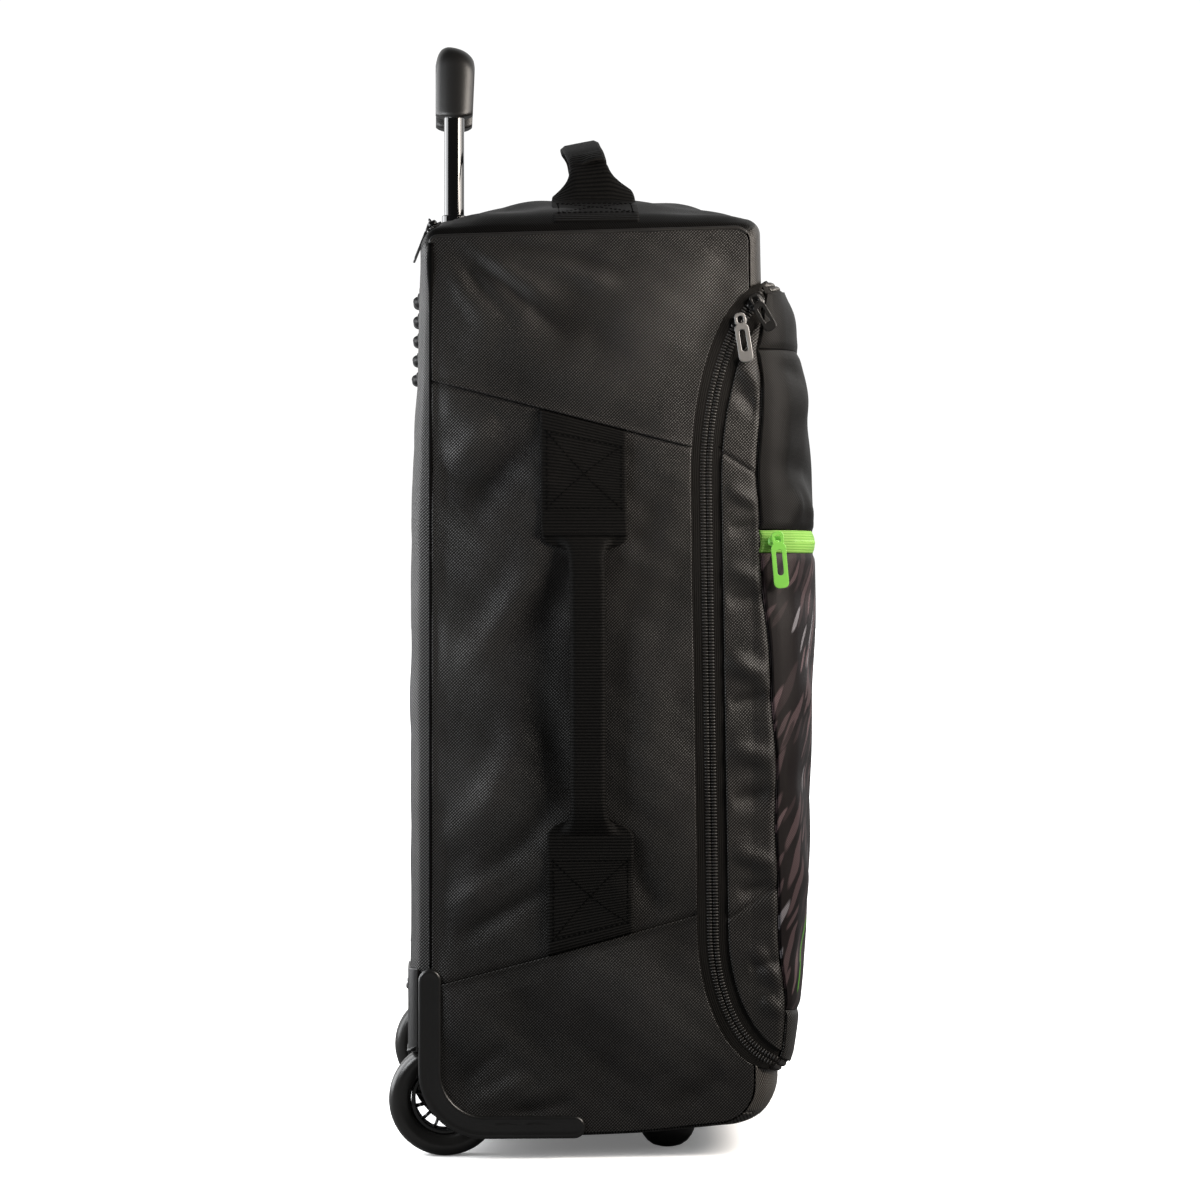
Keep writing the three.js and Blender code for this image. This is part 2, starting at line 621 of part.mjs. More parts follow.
// Small hardware, drawn flat: u forward, v up, w out of the near side.
function onNearSide(geometry, x, forward, z, tiltDegrees, leanDegrees) {
  geometry.rotateX(THREE.MathUtils.degToRad(leanDegrees));
  geometry.rotateZ(THREE.MathUtils.degToRad(tiltDegrees));
  const basis = new THREE.Matrix4().makeBasis(
    new THREE.Vector3(0, -1, 0), new THREE.Vector3(0, 0, 1), new THREE.Vector3(-1, 0, 0));
  const at = place(x, forward, z);
  return solidOf(geometry.applyMatrix4(basis).translate(at.x, at.y, at.z));
}

function slottedTab(length, width, thickness, slotLength, slotWidth) {
  const cutCorners = (half, top, bottom, cut) => [
    [-half + cut, top], [-half, top - cut], [-half, bottom + cut], [-half + cut, bottom],
    [half - cut, bottom], [half, bottom + cut], [half, top - cut], [half - cut, top],
  ].map(([u, v]) => new THREE.Vector2(u, v));
  const shape = new THREE.Shape(cutCorners(width / 2, 0, -length, width * 0.18));
  const middle = -length * 0.52;
  shape.holes.push(new THREE.Path(
    cutCorners(slotWidth / 2, middle + slotLength / 2, middle - slotLength / 2, slotWidth * 0.3)));
  return new THREE.ExtrudeGeometry(shape, { depth: thickness, bevelEnabled: false });
}

function sliderBlock(length, width, height) {
  const shape = new THREE.Shape();
  shape.moveTo(-width / 2, -length / 2 + 2);
  shape.lineTo(-width / 2 + 2, -length / 2);
  shape.lineTo(width / 2 - 2, -length / 2);
  shape.lineTo(width / 2, -length / 2 + 2);
  shape.lineTo(width * 0.32, length / 2);
  shape.lineTo(-width * 0.32, length / 2);
  shape.closePath();
  return new THREE.ExtrudeGeometry(shape, { depth: height, bevelEnabled: false });
}

function chainForward(z) {
  const rise = (z - OPENING.topStraight) / (OPENING.top - 3 - OPENING.topStraight);
  return OPENING.topForward + CHAIN.shift - OPENING.topReach * Math.sqrt(1 - rise ** 2);
}

function onChain(z) {
  const forward = chainForward(z);
  return { forward, z, x: -(HALF_WIDTH + sideBulge(forward, z) + CHAIN.high + 1) };
}
const SLIDERS = [
  { name: "a", z: 586, turn: -32, pullTurn: 9, length: 33, width: 10, lean: 4, metal: "metal" },
  { name: "b", z: 600, turn: 132, pullTurn: 30, length: 27, width: 9, lean: 5, metal: "plastic" },
];
for (const row of SLIDERS) {
  const at = onChain(row.z);
  const block = sliderBlock(12, 10.5, 4);
  addPiece(`zip_slider_${row.name}`, onNearSide(block, at.x, at.forward, at.z, row.turn, 0), "zip");
  const tab = slottedTab(row.length, row.width, 1.8, row.length * 0.45, row.width * 0.36);
  const seat = { x: at.x - 4 - 0.9, forward: at.forward, z: at.z + 3 };
  addPiece(`zip_pull_${row.name}`, onNearSide(tab, seat.x, seat.forward, seat.z, row.pullTurn, row.lean),
    row.metal);
}

// Slider and pull of the pocket zip, at the near end of the lid front.
const pocketAt = { x: -173.8, forward: 230.5, z: 433 };
const pocketClear = lidForm(-GAP);
const pocketBlock = onNearSide(sliderBlock(11, 9, 4), pocketAt.x, pocketAt.forward, pocketAt.z, 90, 0);
addPiece("pocket_slider", pocketBlock.subtract(pocketClear), "lime");
const pocketTab = slottedTab(38, 10.5, 1.8, 20, 4);
const pocketPull = onNearSide(pocketTab, pocketAt.x - 4.5, pocketAt.forward + 2, pocketAt.z + 3, 6, 3);
addPiece("pocket_pull", pocketPull, "lime");

// Zip of the handle pocket along the top back corner, with a slider and a leaning pull.
function sectionAt(x) {
  const rows = BODY_SECTIONS;
  const i = Math.max(0, rows.findIndex((row, at) => at > 0 && row.x <= x) - 1);
  const t = (rows[i].x - x) / (rows[i].x - rows[i + 1].x);
  const mixed = {};
  for (const key of Object.keys(rows[i])) {
    mixed[key] = THREE.MathUtils.lerp(rows[i][key], rows[i + 1][key], t);
  }
  return mixed;
}

function topSurface(x, forward) {
  const section = sectionAt(Math.abs(x));
  const start = section.frontTop - CORNER.topFront;
  const end = section.backTop + CORNER.topBack;
  return topEdge(section, (forward - start) / (end - start)).z;
}

const HANDLE_ZIP = { turn: 122 };
function topZipRing(x) {
  const section = sectionAt(Math.abs(x));
  const forward = section.backTop + CORNER.topBack;
  const z = TOP_BACK_Z + section.backLift - CORNER.topBack;
  const turn = HANDLE_ZIP.turn;
  const loop = [
    ...arcPoints(forward, z, CORNER.topBack + 1.6, turn - 11, turn - 6, 1),
    ...arcPoints(forward, z, CORNER.topBack + 3, turn - 5, turn + 5, 1),
    ...arcPoints(forward, z, CORNER.topBack + 1.6, turn + 6, turn + 11, 1),
    ...arcPoints(forward, z, CORNER.topBack + GAP + 0.2, turn + 11, turn - 11, 2),
  ];
  return loop.map((p) => place(x, p.forward, p.z));
}
const topZipXs = [-167, -158, -90, 0, 90, 158, 167];
addPiece("handle_pocket_zip", solidFromSections(topZipXs.map(topZipRing)), "zip");

const BACK_PULL = {
  x: -148, width: 9, thickness: 2, top: { forward: -13.8, z: 654 }, tip: { forward: -24.5, z: 627 },
};
const backCorner = sectionAt(-BACK_PULL.x);
const onZip = (radius) => arcPoints(backCorner.backTop + CORNER.topBack,
  TOP_BACK_Z + backCorner.backLift - CORNER.topBack, radius, HANDLE_ZIP.turn, HANDLE_ZIP.turn, 1)[0];
// A flat bar in side view from one point to another, drawn out across the width.
function sideBar(from, to, thickness, x0, x1) {
  const length = Math.hypot(to.forward - from.forward, to.z - from.z);
  const across = {
    forward: (-(to.z - from.z) / length) * (thickness / 2),
    z: ((to.forward - from.forward) / length) * (thickness / 2),
  };
  const shape = new THREE.Shape([
    new THREE.Vector2(from.forward + across.forward, from.z + across.z),
    new THREE.Vector2(from.forward - across.forward, from.z - across.z),
    new THREE.Vector2(to.forward - across.forward, to.z - across.z),
    new THREE.Vector2(to.forward + across.forward, to.z + across.z),
  ]);
  return sidePrism(shape, x0, x1);
}
const sliderInner = onZip(CORNER.topBack + 4);
const sliderOuter = onZip(CORNER.topBack + 7);
const backSlider = sideBar(sliderInner, sliderOuter, 6, BACK_PULL.x - 6, BACK_PULL.x + 6);
addPiece("handle_pocket_slider", backSlider, "zip");
const pull = sideBar(BACK_PULL.top, BACK_PULL.tip, BACK_PULL.thickness,
  BACK_PULL.x - BACK_PULL.width / 2, BACK_PULL.x + BACK_PULL.width / 2);
addPiece("handle_pocket_pull", pull, "metal");

// Webbing handles: a flat patch at each end and a folded grip that stands off between them.
const STRAP_ACROSS = [-0.5, -0.28, 0, 0.28, 0.5];
function strapRing(surfacePoint, row) {
  const outer = STRAP_ACROSS.map((share) => surfacePoint(row, share * row.width, row.stand + row.thick));
  const inner = STRAP_ACROSS.map((share) => surfacePoint(row, share * row.width, row.stand));
  return [...outer, ...inner.reverse()];
}
const SIDE_STRAP = [
  { at: 152, width: 60, thick: 2.2, stand: 0.5, middle: 101 },
  { at: 219, width: 60, thick: 2.2, stand: 0.5, middle: 101 },
  { at: 229, width: 55, thick: 3.4, stand: 2.5, middle: 100.5 },
  { at: 240, width: 36, thick: 5, stand: 6, middle: 100 },
  { at: 256, width: 27.5, thick: 5, stand: 7.5, middle: 99 },
  { at: 335, width: 27.5, thick: 5, stand: 8, middle: 99 },
  { at: 408, width: 27.5, thick: 5, stand: 7.5, middle: 98.5 },
  { at: 424, width: 36, thick: 5, stand: 6, middle: 98 },
  { at: 434, width: 55, thick: 3.4, stand: 2.5, middle: 97 },
  { at: 444, width: 60, thick: 2.2, stand: 0.5, middle: 96.5 },
  { at: 513, width: 60, thick: 2.2, stand: 0.5, middle: 96 },
];
const onSide = (row, across, stand) => {
  const forward = row.middle + across;
  return place(-(HALF_WIDTH + sideBulge(forward, row.at) + stand), forward, row.at);
};
addPiece("side_handle", solidFromSections(SIDE_STRAP.map((row) => strapRing(onSide, row))), "webbing");

const TOP_STRAP_HALF = [
  { at: 164, width: 60, thick: 2.2, stand: 0.6 },
  { at: 158, width: 60, thick: 2.2, stand: 0.6 },
  { at: 122, width: 60, thick: 2.2, stand: 0.6 },
  { at: 113, width: 56, thick: 3.4, stand: 4 },
  { at: 103, width: 38, thick: 5, stand: 16 },
  { at: 92, width: 29, thick: 5, stand: 28 },
  { at: 70, width: 27.5, thick: 5, stand: 36.5 },
  { at: 36, width: 27.5, thick: 5, stand: 41 },
  { at: 0, width: 27.5, thick: 5, stand: 43 },
];
const TOP_STRAP_MIDDLE = 106;
const onTop = (row, across, stand) => {
  const forward = TOP_STRAP_MIDDLE + across;
  return place(row.at, forward, topSurface(row.at, forward) + stand);
};
const topStrapRows = [
  ...TOP_STRAP_HALF.map((row) => ({ ...row, at: -row.at })),
  ...TOP_STRAP_HALF.slice(0, -1).reverse(),
];
addPiece("top_handle", solidFromSections(topStrapRows.map((row) => strapRing(onTop, row))), "webbing");

// Corner guards: a band on the side, a skin round the lower back corner and the wheel housing.
const BAND = {
  back: -19, innerBack: -3, bottom: 15, innerBottom: 31, top: 134, front: 98, arcForward: 28, arcZ: 62,
};
function bandShape() {
  const end = (BAND.innerBack - BAND.back) / 2;
  const innerRadius = BAND.arcForward - BAND.innerBack;
  const outerRadius = BAND.arcForward - BAND.back;
  const shape = new THREE.Shape();
  shape.moveTo(BAND.back, BAND.arcZ);
  shape.lineTo(BAND.back, BAND.top - end);
  shape.absarc(BAND.back + end, BAND.top - end, end, Math.PI, 0, true);
  shape.lineTo(BAND.innerBack, BAND.arcZ);
  shape.absarc(BAND.arcForward, BAND.arcZ, innerRadius, Math.PI, 1.5 * Math.PI, false);
  shape.lineTo(BAND.front - end, BAND.innerBottom);
  shape.absarc(BAND.front - end, BAND.bottom + end, end, Math.PI / 2, -Math.PI / 2, true);
  shape.lineTo(BAND.arcForward, BAND.bottom);
  shape.absarc(BAND.arcForward, BAND.arcZ, outerRadius, 1.5 * Math.PI, Math.PI, true);
  return shape;
}
const GUARD_SKIN = [
  { x: -175.2, back: -19.5, bottom: 15 },
  { x: -171, back: -24, bottom: 15.5 },
  { x: -164, back: -26.5, bottom: 16 },
  { x: -122, back: -26.5, bottom: 16 },
];
function guardRing(row) {
  const radius = 47;
  const loop = [
    { forward: BAND.front - 8, z: row.bottom },
    { forward: BAND.front - 8, z: 90 },
    { forward: 40, z: BAND.top },
    { forward: row.back, z: BAND.top },
    ...arcPoints(row.back + radius, row.bottom + radius, radius, 180, 270, 6),
  ];
  return loop.map((p) => place(row.x, p.forward, p.z));
}
function cornerShape() {
  const radius = 46;
  const loop = [
    { forward: 100, z: 17.5 }, { forward: 100, z: 200 }, { forward: -24.5, z: 200 },
    ...arcPoints(-24.5 + radius, 17.5 + radius, radius, 180, 270, 6),
  ];
  return new THREE.Shape(loop.map((p) => new THREE.Vector2(p.forward, p.z)));
}
const wheelSpace = crossCylinder(HOUSING.innerRadius, -AXLE.outer + HOUSING.wall, -AXLE.inner - HOUSING.wall,
  0, WHEEL.axleZ, WHEEL.sides);
const housing = crossCylinder(HOUSING.outerRadius, -AXLE.outer, -AXLE.inner, 0, WHEEL.axleZ, WHEEL.sides)
  .intersect(sidePrism(cornerShape(), -300, 0));
const axleHole = crossCylinder(AXLE.radius + GAP, -AXLE.outer - 1, -AXLE.inner + 1,
  0, WHEEL.axleZ, AXLE.sides);
const guard = sidePrism(bandShape(), -179.5, -174, 4)
  .add(solidFromSections(GUARD_SKIN.map(guardRing)))
  .subtract(bodyClear)
  .add(housing)
  .subtract(wheelSpace)
  .subtract(axleHole);
addPair("wheel_guard", guard, "plastic");
addPair("axle", crossCylinder(AXLE.radius, -AXLE.outer, -AXLE.inner, 0, WHEEL.axleZ, AXLE.sides), "metal");

const screwDisc = new THREE.CylinderGeometry(3.6, 3.6, 0.8, 10).translate(0, 0.1, 0);
const screwAt = place(-158, -26.5 - GAP - 0.3, 122);
const screw = solidOf(screwDisc.translate(screwAt.x, screwAt.y, screwAt.z));
addPair("guard_screw", screw, "metal");

// Wheels: a rounded tyre on a hub with a ring of windows.
function aroundAxle(profile, x) {
  const points = profile.map((row) => new THREE.Vector2(row.radius, row.side));
  const geometry = new THREE.LatheGeometry([...points, points[0]], WHEEL.sides);
  geometry.rotateZ(Math.PI / 2);
  const at = place(x, 0, WHEEL.axleZ);
  return solidOf(geometry.translate(at.x, at.y, at.z));
}
const TYRE_PROFILE = [
  { radius: WHEEL.tyreInner, side: -9.5 },
  { radius: 35, side: -12 },
  { radius: WHEEL.radius, side: -6 },
  { radius: WHEEL.radius, side: 6 },
  { radius: 35, side: 12 },
  { radius: WHEEL.tyreInner, side: 9.5 },
];
const HUB = {
  boss: 8.5, bossHalf: 12.2, webHalf: 8.5, rim: 24,
  windows: 12, windowIn: 14.5, windowOut: 21.2, windowTurn: 0.8,
};
function hubWindow(i) {
  const turn = 360 / HUB.windows;
  const start = turn * (i + (1 - HUB.windowTurn) / 2);
  const end = start + turn * HUB.windowTurn;
  const loop = [
    ...arcPoints(0, WHEEL.axleZ, HUB.windowOut, start, end, 1),
    ...arcPoints(0, WHEEL.axleZ, HUB.windowIn, end, start, 1),
  ];
  const shape = new THREE.Shape(loop.map((p) => new THREE.Vector2(p.forward, p.z)));
  return sidePrism(shape, -WHEEL.x - HUB.bossHalf, -WHEEL.x + HUB.bossHalf);
}
const boss = crossCylinder(HUB.boss, -WHEEL.x - HUB.bossHalf, -WHEEL.x + HUB.bossHalf,
  0, WHEEL.axleZ, AXLE.sides);
let hub = crossCylinder(HUB.rim, -WHEEL.x - HUB.webHalf, -WHEEL.x + HUB.webHalf, 0, WHEEL.axleZ, WHEEL.sides);
for (let i = 0; i < HUB.windows; i += 1) {
  hub = hub.subtract(hubWindow(i));
}
hub = hub.add(boss).subtract(axleHole);
addPair("wheel_tyre", aroundAxle(TYRE_PROFILE, -WHEEL.x), "rubber");
addPair("wheel_hub", hub, "plastic");

// Front feet: squat domes with a flat to stand on.
function footSolid() {
  const profile = [new THREE.Vector2(0, 0), new THREE.Vector2(FOOT.flatRadius, 0)];
  for (let i = 1; i <= 4; i += 1) {
    const angle = (Math.PI / 2) * (i / 4);
    const radius = FOOT.flatRadius + (FOOT.radius - FOOT.flatRadius) * Math.sin(angle);
    profile.push(new THREE.Vector2(radius, FOOT.height * 0.8 * (1 - Math.cos(angle))));
  }
  profile.push(new THREE.Vector2(FOOT.radius, FOOT.height), new THREE.Vector2(0, FOOT.height));
  const geometry = new THREE.LatheGeometry(profile, 16);
  geometry.rotateX(Math.PI / 2);
  const at = place(-FOOT.x, FOOT.forward, 0);
  return solidOf(geometry.translate(at.x, at.y, at.z));
}
addPair("foot", footSolid(), "rubber");

// Ribbed bumper on the upper back.
const BUMPER = { halfLength: 70, bottom: 548, top: 620, ribs: 5, ribHalf: 4.6 };
function bumperSolid() {
  const middle = BODY_SECTIONS[BODY_SECTIONS.length - 1];
  const upper = TOP_BACK_Z + middle.backLift - CORNER.topBack;
  const lower = middle.bottom + CORNER.bottomBack;
  const upShare = (z) => (z - BUMPER.bottom) / (BUMPER.top - BUMPER.bottom);
  const plateForward = (z) => backEdge(middle, (upper - z) / (upper - lower)).forward
    - THREE.MathUtils.lerp(3, 1.6, upShare(z));
  const shape = new THREE.Shape();
  shape.moveTo(0, BUMPER.bottom);
  shape.lineTo(0, BUMPER.top);
  shape.lineTo(plateForward(BUMPER.top), BUMPER.top);
  const pitch = (BUMPER.top - BUMPER.bottom) / BUMPER.ribs;
  for (let i = BUMPER.ribs - 1; i >= 0; i -= 1) {
    const z = BUMPER.bottom + pitch * (i + 0.5);
    const forward = plateForward(z);
    const rise = THREE.MathUtils.lerp(3.6, 2.2, upShare(z));
    shape.lineTo(forward, z + BUMPER.ribHalf);
    shape.lineTo(forward - rise * 0.8, z + BUMPER.ribHalf * 0.6);
    shape.lineTo(forward - rise, z);
    shape.lineTo(forward - rise * 0.8, z - BUMPER.ribHalf * 0.6);
    shape.lineTo(forward, z - BUMPER.ribHalf);
  }
  shape.lineTo(plateForward(BUMPER.bottom), BUMPER.bottom);
  shape.closePath();
  return sidePrism(shape, -BUMPER.halfLength, BUMPER.halfLength).subtract(bodyClear);
}
addPiece("back_bumper", bumperSolid(), "rubber");

// Telescopic handle: fixed sleeves, sliding tubes and a two-legged grip.
const sleeveTop = topSurface(TUBE.x, TUBE.forward + SLEEVE.outerRadius) + SLEEVE.rise;
function handleRod(radius, z0, z1) {
  return uprightCylinder(radius, -TUBE.x, TUBE.forward, z0, z1, TUBE.sides);
}
const sleeveBore = handleRod(SLEEVE.innerRadius, SLEEVE.bottom - 5, sleeveTop + 5);
const sleeve = handleRod(SLEEVE.outerRadius, SLEEVE.bottom, sleeveTop).subtract(sleeveBore);
addPair("handle_sleeve", sleeve, "tube");
const tubeBore = handleRod(TUBE.radius - TUBE.wall, TUBE.bottom - 5, TUBE.top - TUBE.wall);
addPair("handle_tube", handleRod(TUBE.radius, TUBE.bottom, TUBE.top).subtract(tubeBore), "tube");

// Grip section in side view: upright back, crest near the back, top falling to the front.
const GRIP_SECTION = [
  { forward: -6.3, z: 746.6 },
  { forward: 19.5, z: 746.6 },
  { forward: 22, z: 775 },
  { forward: 22.4, z: 781 },
  { forward: 20.5, z: 786 },
  { forward: 14, z: 793 },
  { forward: 7, z: 797.4 },
  { forward: 2, z: 796.5 },
  { forward: -4, z: 791 },
  { forward: -6.3, z: 784 },
];
function gripSolid() {
  const ends = [
    { x: -GRIP.halfLength, inset: 2.5 },
    { x: -GRIP.halfLength + 1, inset: 1 },
    { x: -GRIP.halfLength + 3, inset: 0 },
  ];
  const rows = [...ends, ...ends.map((row) => ({ x: -row.x, inset: row.inset })).reverse()];
  const ringOf = (row) => insetLoop(GRIP_SECTION, row.inset).map((p) => place(row.x, p.forward, p.z));
  const socket = handleRod(TUBE.radius + GAP, 700, TUBE.top + GAP);
  const arch = new THREE.Shape();
  const round = 9;
  arch.moveTo(-GRIP.gapHalf, 700);
  arch.lineTo(GRIP.gapHalf, 700);
  arch.absarc(GRIP.gapHalf - round, GRIP.gapTop - round, round, 0, Math.PI / 2, false);
  arch.absarc(-GRIP.gapHalf + round, GRIP.gapTop - round, round, Math.PI / 2, Math.PI, false);
  arch.closePath();
  const archGeometry = new THREE.ExtrudeGeometry(arch, { depth: 100, bevelEnabled: false, curveSegments: 4 });
  archGeometry.rotateX(Math.PI / 2);
  const gap = solidOf(archGeometry.translate(0, AXLE_Y + 50, 0));
  return solidFromSections(rows.map(ringOf)).subtract(gap).subtract(socket).subtract(mirrored(socket));
}
addPiece("handle_grip", gripSolid(), "plastic");

export default group;
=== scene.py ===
# %% [markdown]
# # A wheeled kit bag, dressed over its CAD frame
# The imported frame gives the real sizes, the bodies and the joints. This lesson
# lays cloth panels, webbing, zips, guards and wheels over it, one step per cell.
# Sizes are in millimetres and are turned into metres by one function, `place`.

# %% Load the frame
import math

import bmesh
import bpy
import numpy as np
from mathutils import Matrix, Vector
from mathutils.geometry import tessellate_polygon


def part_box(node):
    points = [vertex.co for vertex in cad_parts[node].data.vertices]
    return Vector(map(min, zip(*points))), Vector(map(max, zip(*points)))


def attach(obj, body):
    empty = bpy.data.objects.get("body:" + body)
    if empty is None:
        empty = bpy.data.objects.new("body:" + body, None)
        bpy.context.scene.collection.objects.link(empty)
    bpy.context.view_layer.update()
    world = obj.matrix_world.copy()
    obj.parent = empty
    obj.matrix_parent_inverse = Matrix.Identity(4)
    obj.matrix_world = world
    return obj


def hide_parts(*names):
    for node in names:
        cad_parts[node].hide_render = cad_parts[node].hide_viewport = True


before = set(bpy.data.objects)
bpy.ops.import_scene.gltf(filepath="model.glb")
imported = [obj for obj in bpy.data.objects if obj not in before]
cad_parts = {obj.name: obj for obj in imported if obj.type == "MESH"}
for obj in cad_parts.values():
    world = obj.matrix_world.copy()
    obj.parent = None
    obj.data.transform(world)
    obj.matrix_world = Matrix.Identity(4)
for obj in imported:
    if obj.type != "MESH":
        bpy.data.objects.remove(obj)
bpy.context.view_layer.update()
MM = 0.001

# %% [markdown]
# The bag is measured from its wheel axle: `x` across from the middle of the width,
# `forward` ahead of the axle and `z` up from the floor. The axle's place is read
# from the tyres of the frame, so nothing has to be fitted afterwards.

# %% Measures from the frame
near_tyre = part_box("wheel_tyre_left")
far_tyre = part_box("wheel_tyre_right")
MIDDLE_X = (near_tyre[0].x + far_tyre[1].x) / 2 / MM
AXLE_Y = (near_tyre[0].y + near_tyre[1].y) / 2 / MM
AXLE_Z = (near_tyre[0].z + near_tyre[1].z) / 2 / MM
WHEEL_X = (far_tyre[0].x + far_tyre[1].x) / 2 / MM - MIDDLE_X
SIDES = {"left": -1, "right": 1}


def place(x, forward, z):
    """Points in metres for bag measures in millimetres."""
    x, forward, z = np.broadcast_arrays(x, forward, z)
    return np.stack([x + MIDDLE_X, AXLE_Y - forward, z], axis=-1).astype(float) * MM


BAG_MIDDLE = place(0, 110, 340)
print(f"axle at y {AXLE_Y:.1f} mm, middle of the width at x {MIDDLE_X:.1f} mm")

# %% [markdown]
# ## Camera
# The photograph looks square at one side of the bag from wheel-axle depth, with a
# long lens. A real camera has a place, a lens and two small turns, so those are
# what is set, and no lens shift is needed.

# %% Camera
CAMERA = {"x": -2646, "forward": 0, "z": 402.4, "focal_px": 3531, "right_px": 154.5, "down_px": 15}
PHOTO_PX = 1200
SENSOR_MM = 36


def into_scene(name, data):
    """A new object at the origin that shows the data."""
    made = bpy.data.objects.new(name, data)
    bpy.context.scene.collection.objects.link(made)
    return made


camera = into_scene("camera", bpy.data.cameras.new("camera"))
camera.location = place(CAMERA["x"], CAMERA["forward"], CAMERA["z"])
yaw = math.atan(CAMERA["right_px"] / CAMERA["focal_px"])
pitch = math.atan(CAMERA["down_px"] / CAMERA["focal_px"])
look = Vector((math.cos(yaw) * math.cos(pitch), -math.sin(yaw) * math.cos(pitch), -math.sin(pitch)))
camera.rotation_euler = look.to_track_quat("-Z", "Y").to_euler()
camera.data.sensor_width = SENSOR_MM
camera.data.lens = CAMERA["focal_px"] / PHOTO_PX * SENSOR_MM
bpy.context.scene.camera = camera
print(f"lens {camera.data.lens:.1f} mm")

# %% [markdown]
# ## Floor and light
# The bag stands on a white studio sweep. The camera sees a bright floor and a white
# world. The bag is lit by a bright backdrop behind it, which rims its edges, and by
# lamps on the camera's dim side, so that black cloth stays black.
# A warm box before the lid and a cool one behind the back model the sides. Two rim
# boxes draw the edges, and a warm spot lights the upper side. A wide sun overhead
# whitens the floor; it is linked to the floor alone, so it can be strong.

# %% Node helper


def add_node(tree, kind, inputs, **settings):
    """Adds a node. An input given as a socket is linked, and any other value is set."""
    made = tree.nodes.new(kind)
    for name, value in settings.items():
        setattr(made, name, value)
    for name, value in inputs.items():
        if isinstance(value, bpy.types.NodeSocket):
            tree.links.new(value, made.inputs[name])
        else:
            made.inputs[name].default_value = value
    return made


def maths(tree, operation, *values):
    return add_node(tree, "ShaderNodeMath", dict(enumerate(values)), operation=operation).outputs[0]


def map_range(tree, value, start, end, low, high):
    sockets = {"Value": value, 1: start, 2: end, 3: low, 4: high}
    return add_node(tree, "ShaderNodeMapRange", sockets).outputs["Result"]


# %% Floor and world
FLOOR_SIZE = 60
WORLD_LIGHT = 0.045
BACKDROP_LIGHT = 0.85
# Where the backdrop begins and is full, as the x of a direction away from the camera.
BACKDROP_SPAN = (-0.05, 0.7)
FLOOR_BOUNCE = 0.1
FLOOR_GLOW = 0.14
# Brightness of the floor's paint and of the world, as the camera alone sees them.
FLOOR_SEEN = 0.96
WORLD_SEEN = 1.05

bpy.ops.mesh.primitive_plane_add(size=FLOOR_SIZE)
floor = bpy.context.object
floor.name = "floor"
floor_paint = bpy.data.materials.new("floor_paint")
floor_paint.use_nodes = True
tree = floor_paint.node_tree
sockets = tree.nodes["Principled BSDF"].inputs
sockets["Roughness"].default_value = 0.8
sockets["Specular IOR Level"].default_value = 0.1
sockets["Emission Color"].default_value = (1, 1, 1, 1)
seen = add_node(tree, "ShaderNodeLightPath", {}).outputs["Is Camera Ray"]
tree.links.new(map_range(tree, seen, 0.0, 1.0, FLOOR_BOUNCE, FLOOR_SEEN), sockets["Base Color"])
tree.links.new(maths(tree, "MULTIPLY", seen, FLOOR_GLOW), sockets["Emission Strength"])
floor.data.materials.append(floor_paint)

world = bpy.data.worlds.new("studio")
world.use_nodes = True
tree = world.node_tree
seen = add_node(tree, "ShaderNodeLightPath", {}).outputs["Is Camera Ray"]
heading = add_node(tree, "ShaderNodeTexCoord", {}).outputs["Generated"]
away = add_node(tree, "ShaderNodeSeparateXYZ", {"Vector": heading}).outputs["X"]
backdrop = map_range(tree, away, *BACKDROP_SPAN, WORLD_LIGHT, BACKDROP_LIGHT)
shade = map_range(tree, seen, 0.0, 1.0, backdrop, WORLD_SEEN)
tree.links.new(shade, tree.nodes["Background"].inputs["Strength"])
tree.nodes["Background"].inputs["Color"].default_value = (1, 1, 1, 1)
bpy.context.scene.world = world
bpy.context.scene.view_settings.view_transform = "Standard"
print("floor and world set")

# %% Lamps
# Place of each box, its width and height, its watts and its colour.
BOXES = {
    "front_box": ((-520, 840, 700), (420, 420), 10.4, (1, 0.91, 0.82)),
    "back_box": ((-430, -560, 520), (340, 340), 4.6, (0.96, 0.98, 1)),
    "back_rim": ((150, -600, 500), (640, 880), 8, (0.97, 0.98, 1)),
    "front_rim": ((-100, 640, 800), (500, 400), 2.4, (1, 0.95, 0.9)),
}
OVERHEAD = {"strength": 4.4, "angle": math.radians(150)}
SPOT = {"at": (-1300, 700, 1000), "aim": (-175, 200, 600), "watts": 42, "cone": 12.5, "radius": 90}
SPOT_COLOUR = (1, 0.9, 0.8)


def new_lamp(name, kind, energy, colour=(1, 1, 1)):
    lamp = into_scene(name, bpy.data.lights.new(name, kind))
    lamp.data.energy = energy
    lamp.data.color = colour
    return lamp


def aim_lamp(lamp, at, target):
    lamp.location = place(*at)
    lamp.rotation_euler = (Vector(target) - lamp.location).to_track_quat("-Z", "Y").to_euler()


for name, (at, size, watts, colour) in BOXES.items():
    lamp = new_lamp(name, "AREA", watts, colour)
    lamp.data.shape = "RECTANGLE"
    lamp.data.size, lamp.data.size_y = size[0] * MM, size[1] * MM
    lamp.visible_camera = False
    aim_lamp(lamp, at, BAG_MIDDLE)
spot = new_lamp("warm_spot", "SPOT", SPOT["watts"], SPOT_COLOUR)
spot.data.spot_size = math.radians(SPOT["cone"])
spot.data.spot_blend = 1.0
spot.data.shadow_soft_size = SPOT["radius"] * MM
aim_lamp(spot, SPOT["at"], place(*SPOT["aim"]))
overhead = new_lamp("overhead", "SUN", OVERHEAD["strength"])
overhead.data.angle = OVERHEAD["angle"]
floor_only = bpy.data.collections.new("floor_only")
floor_only.objects.link(floor)
overhead.light_linking.receiver_collection = floor_only
print("lamps:", list(BOXES), "with a spot and an overhead sun")

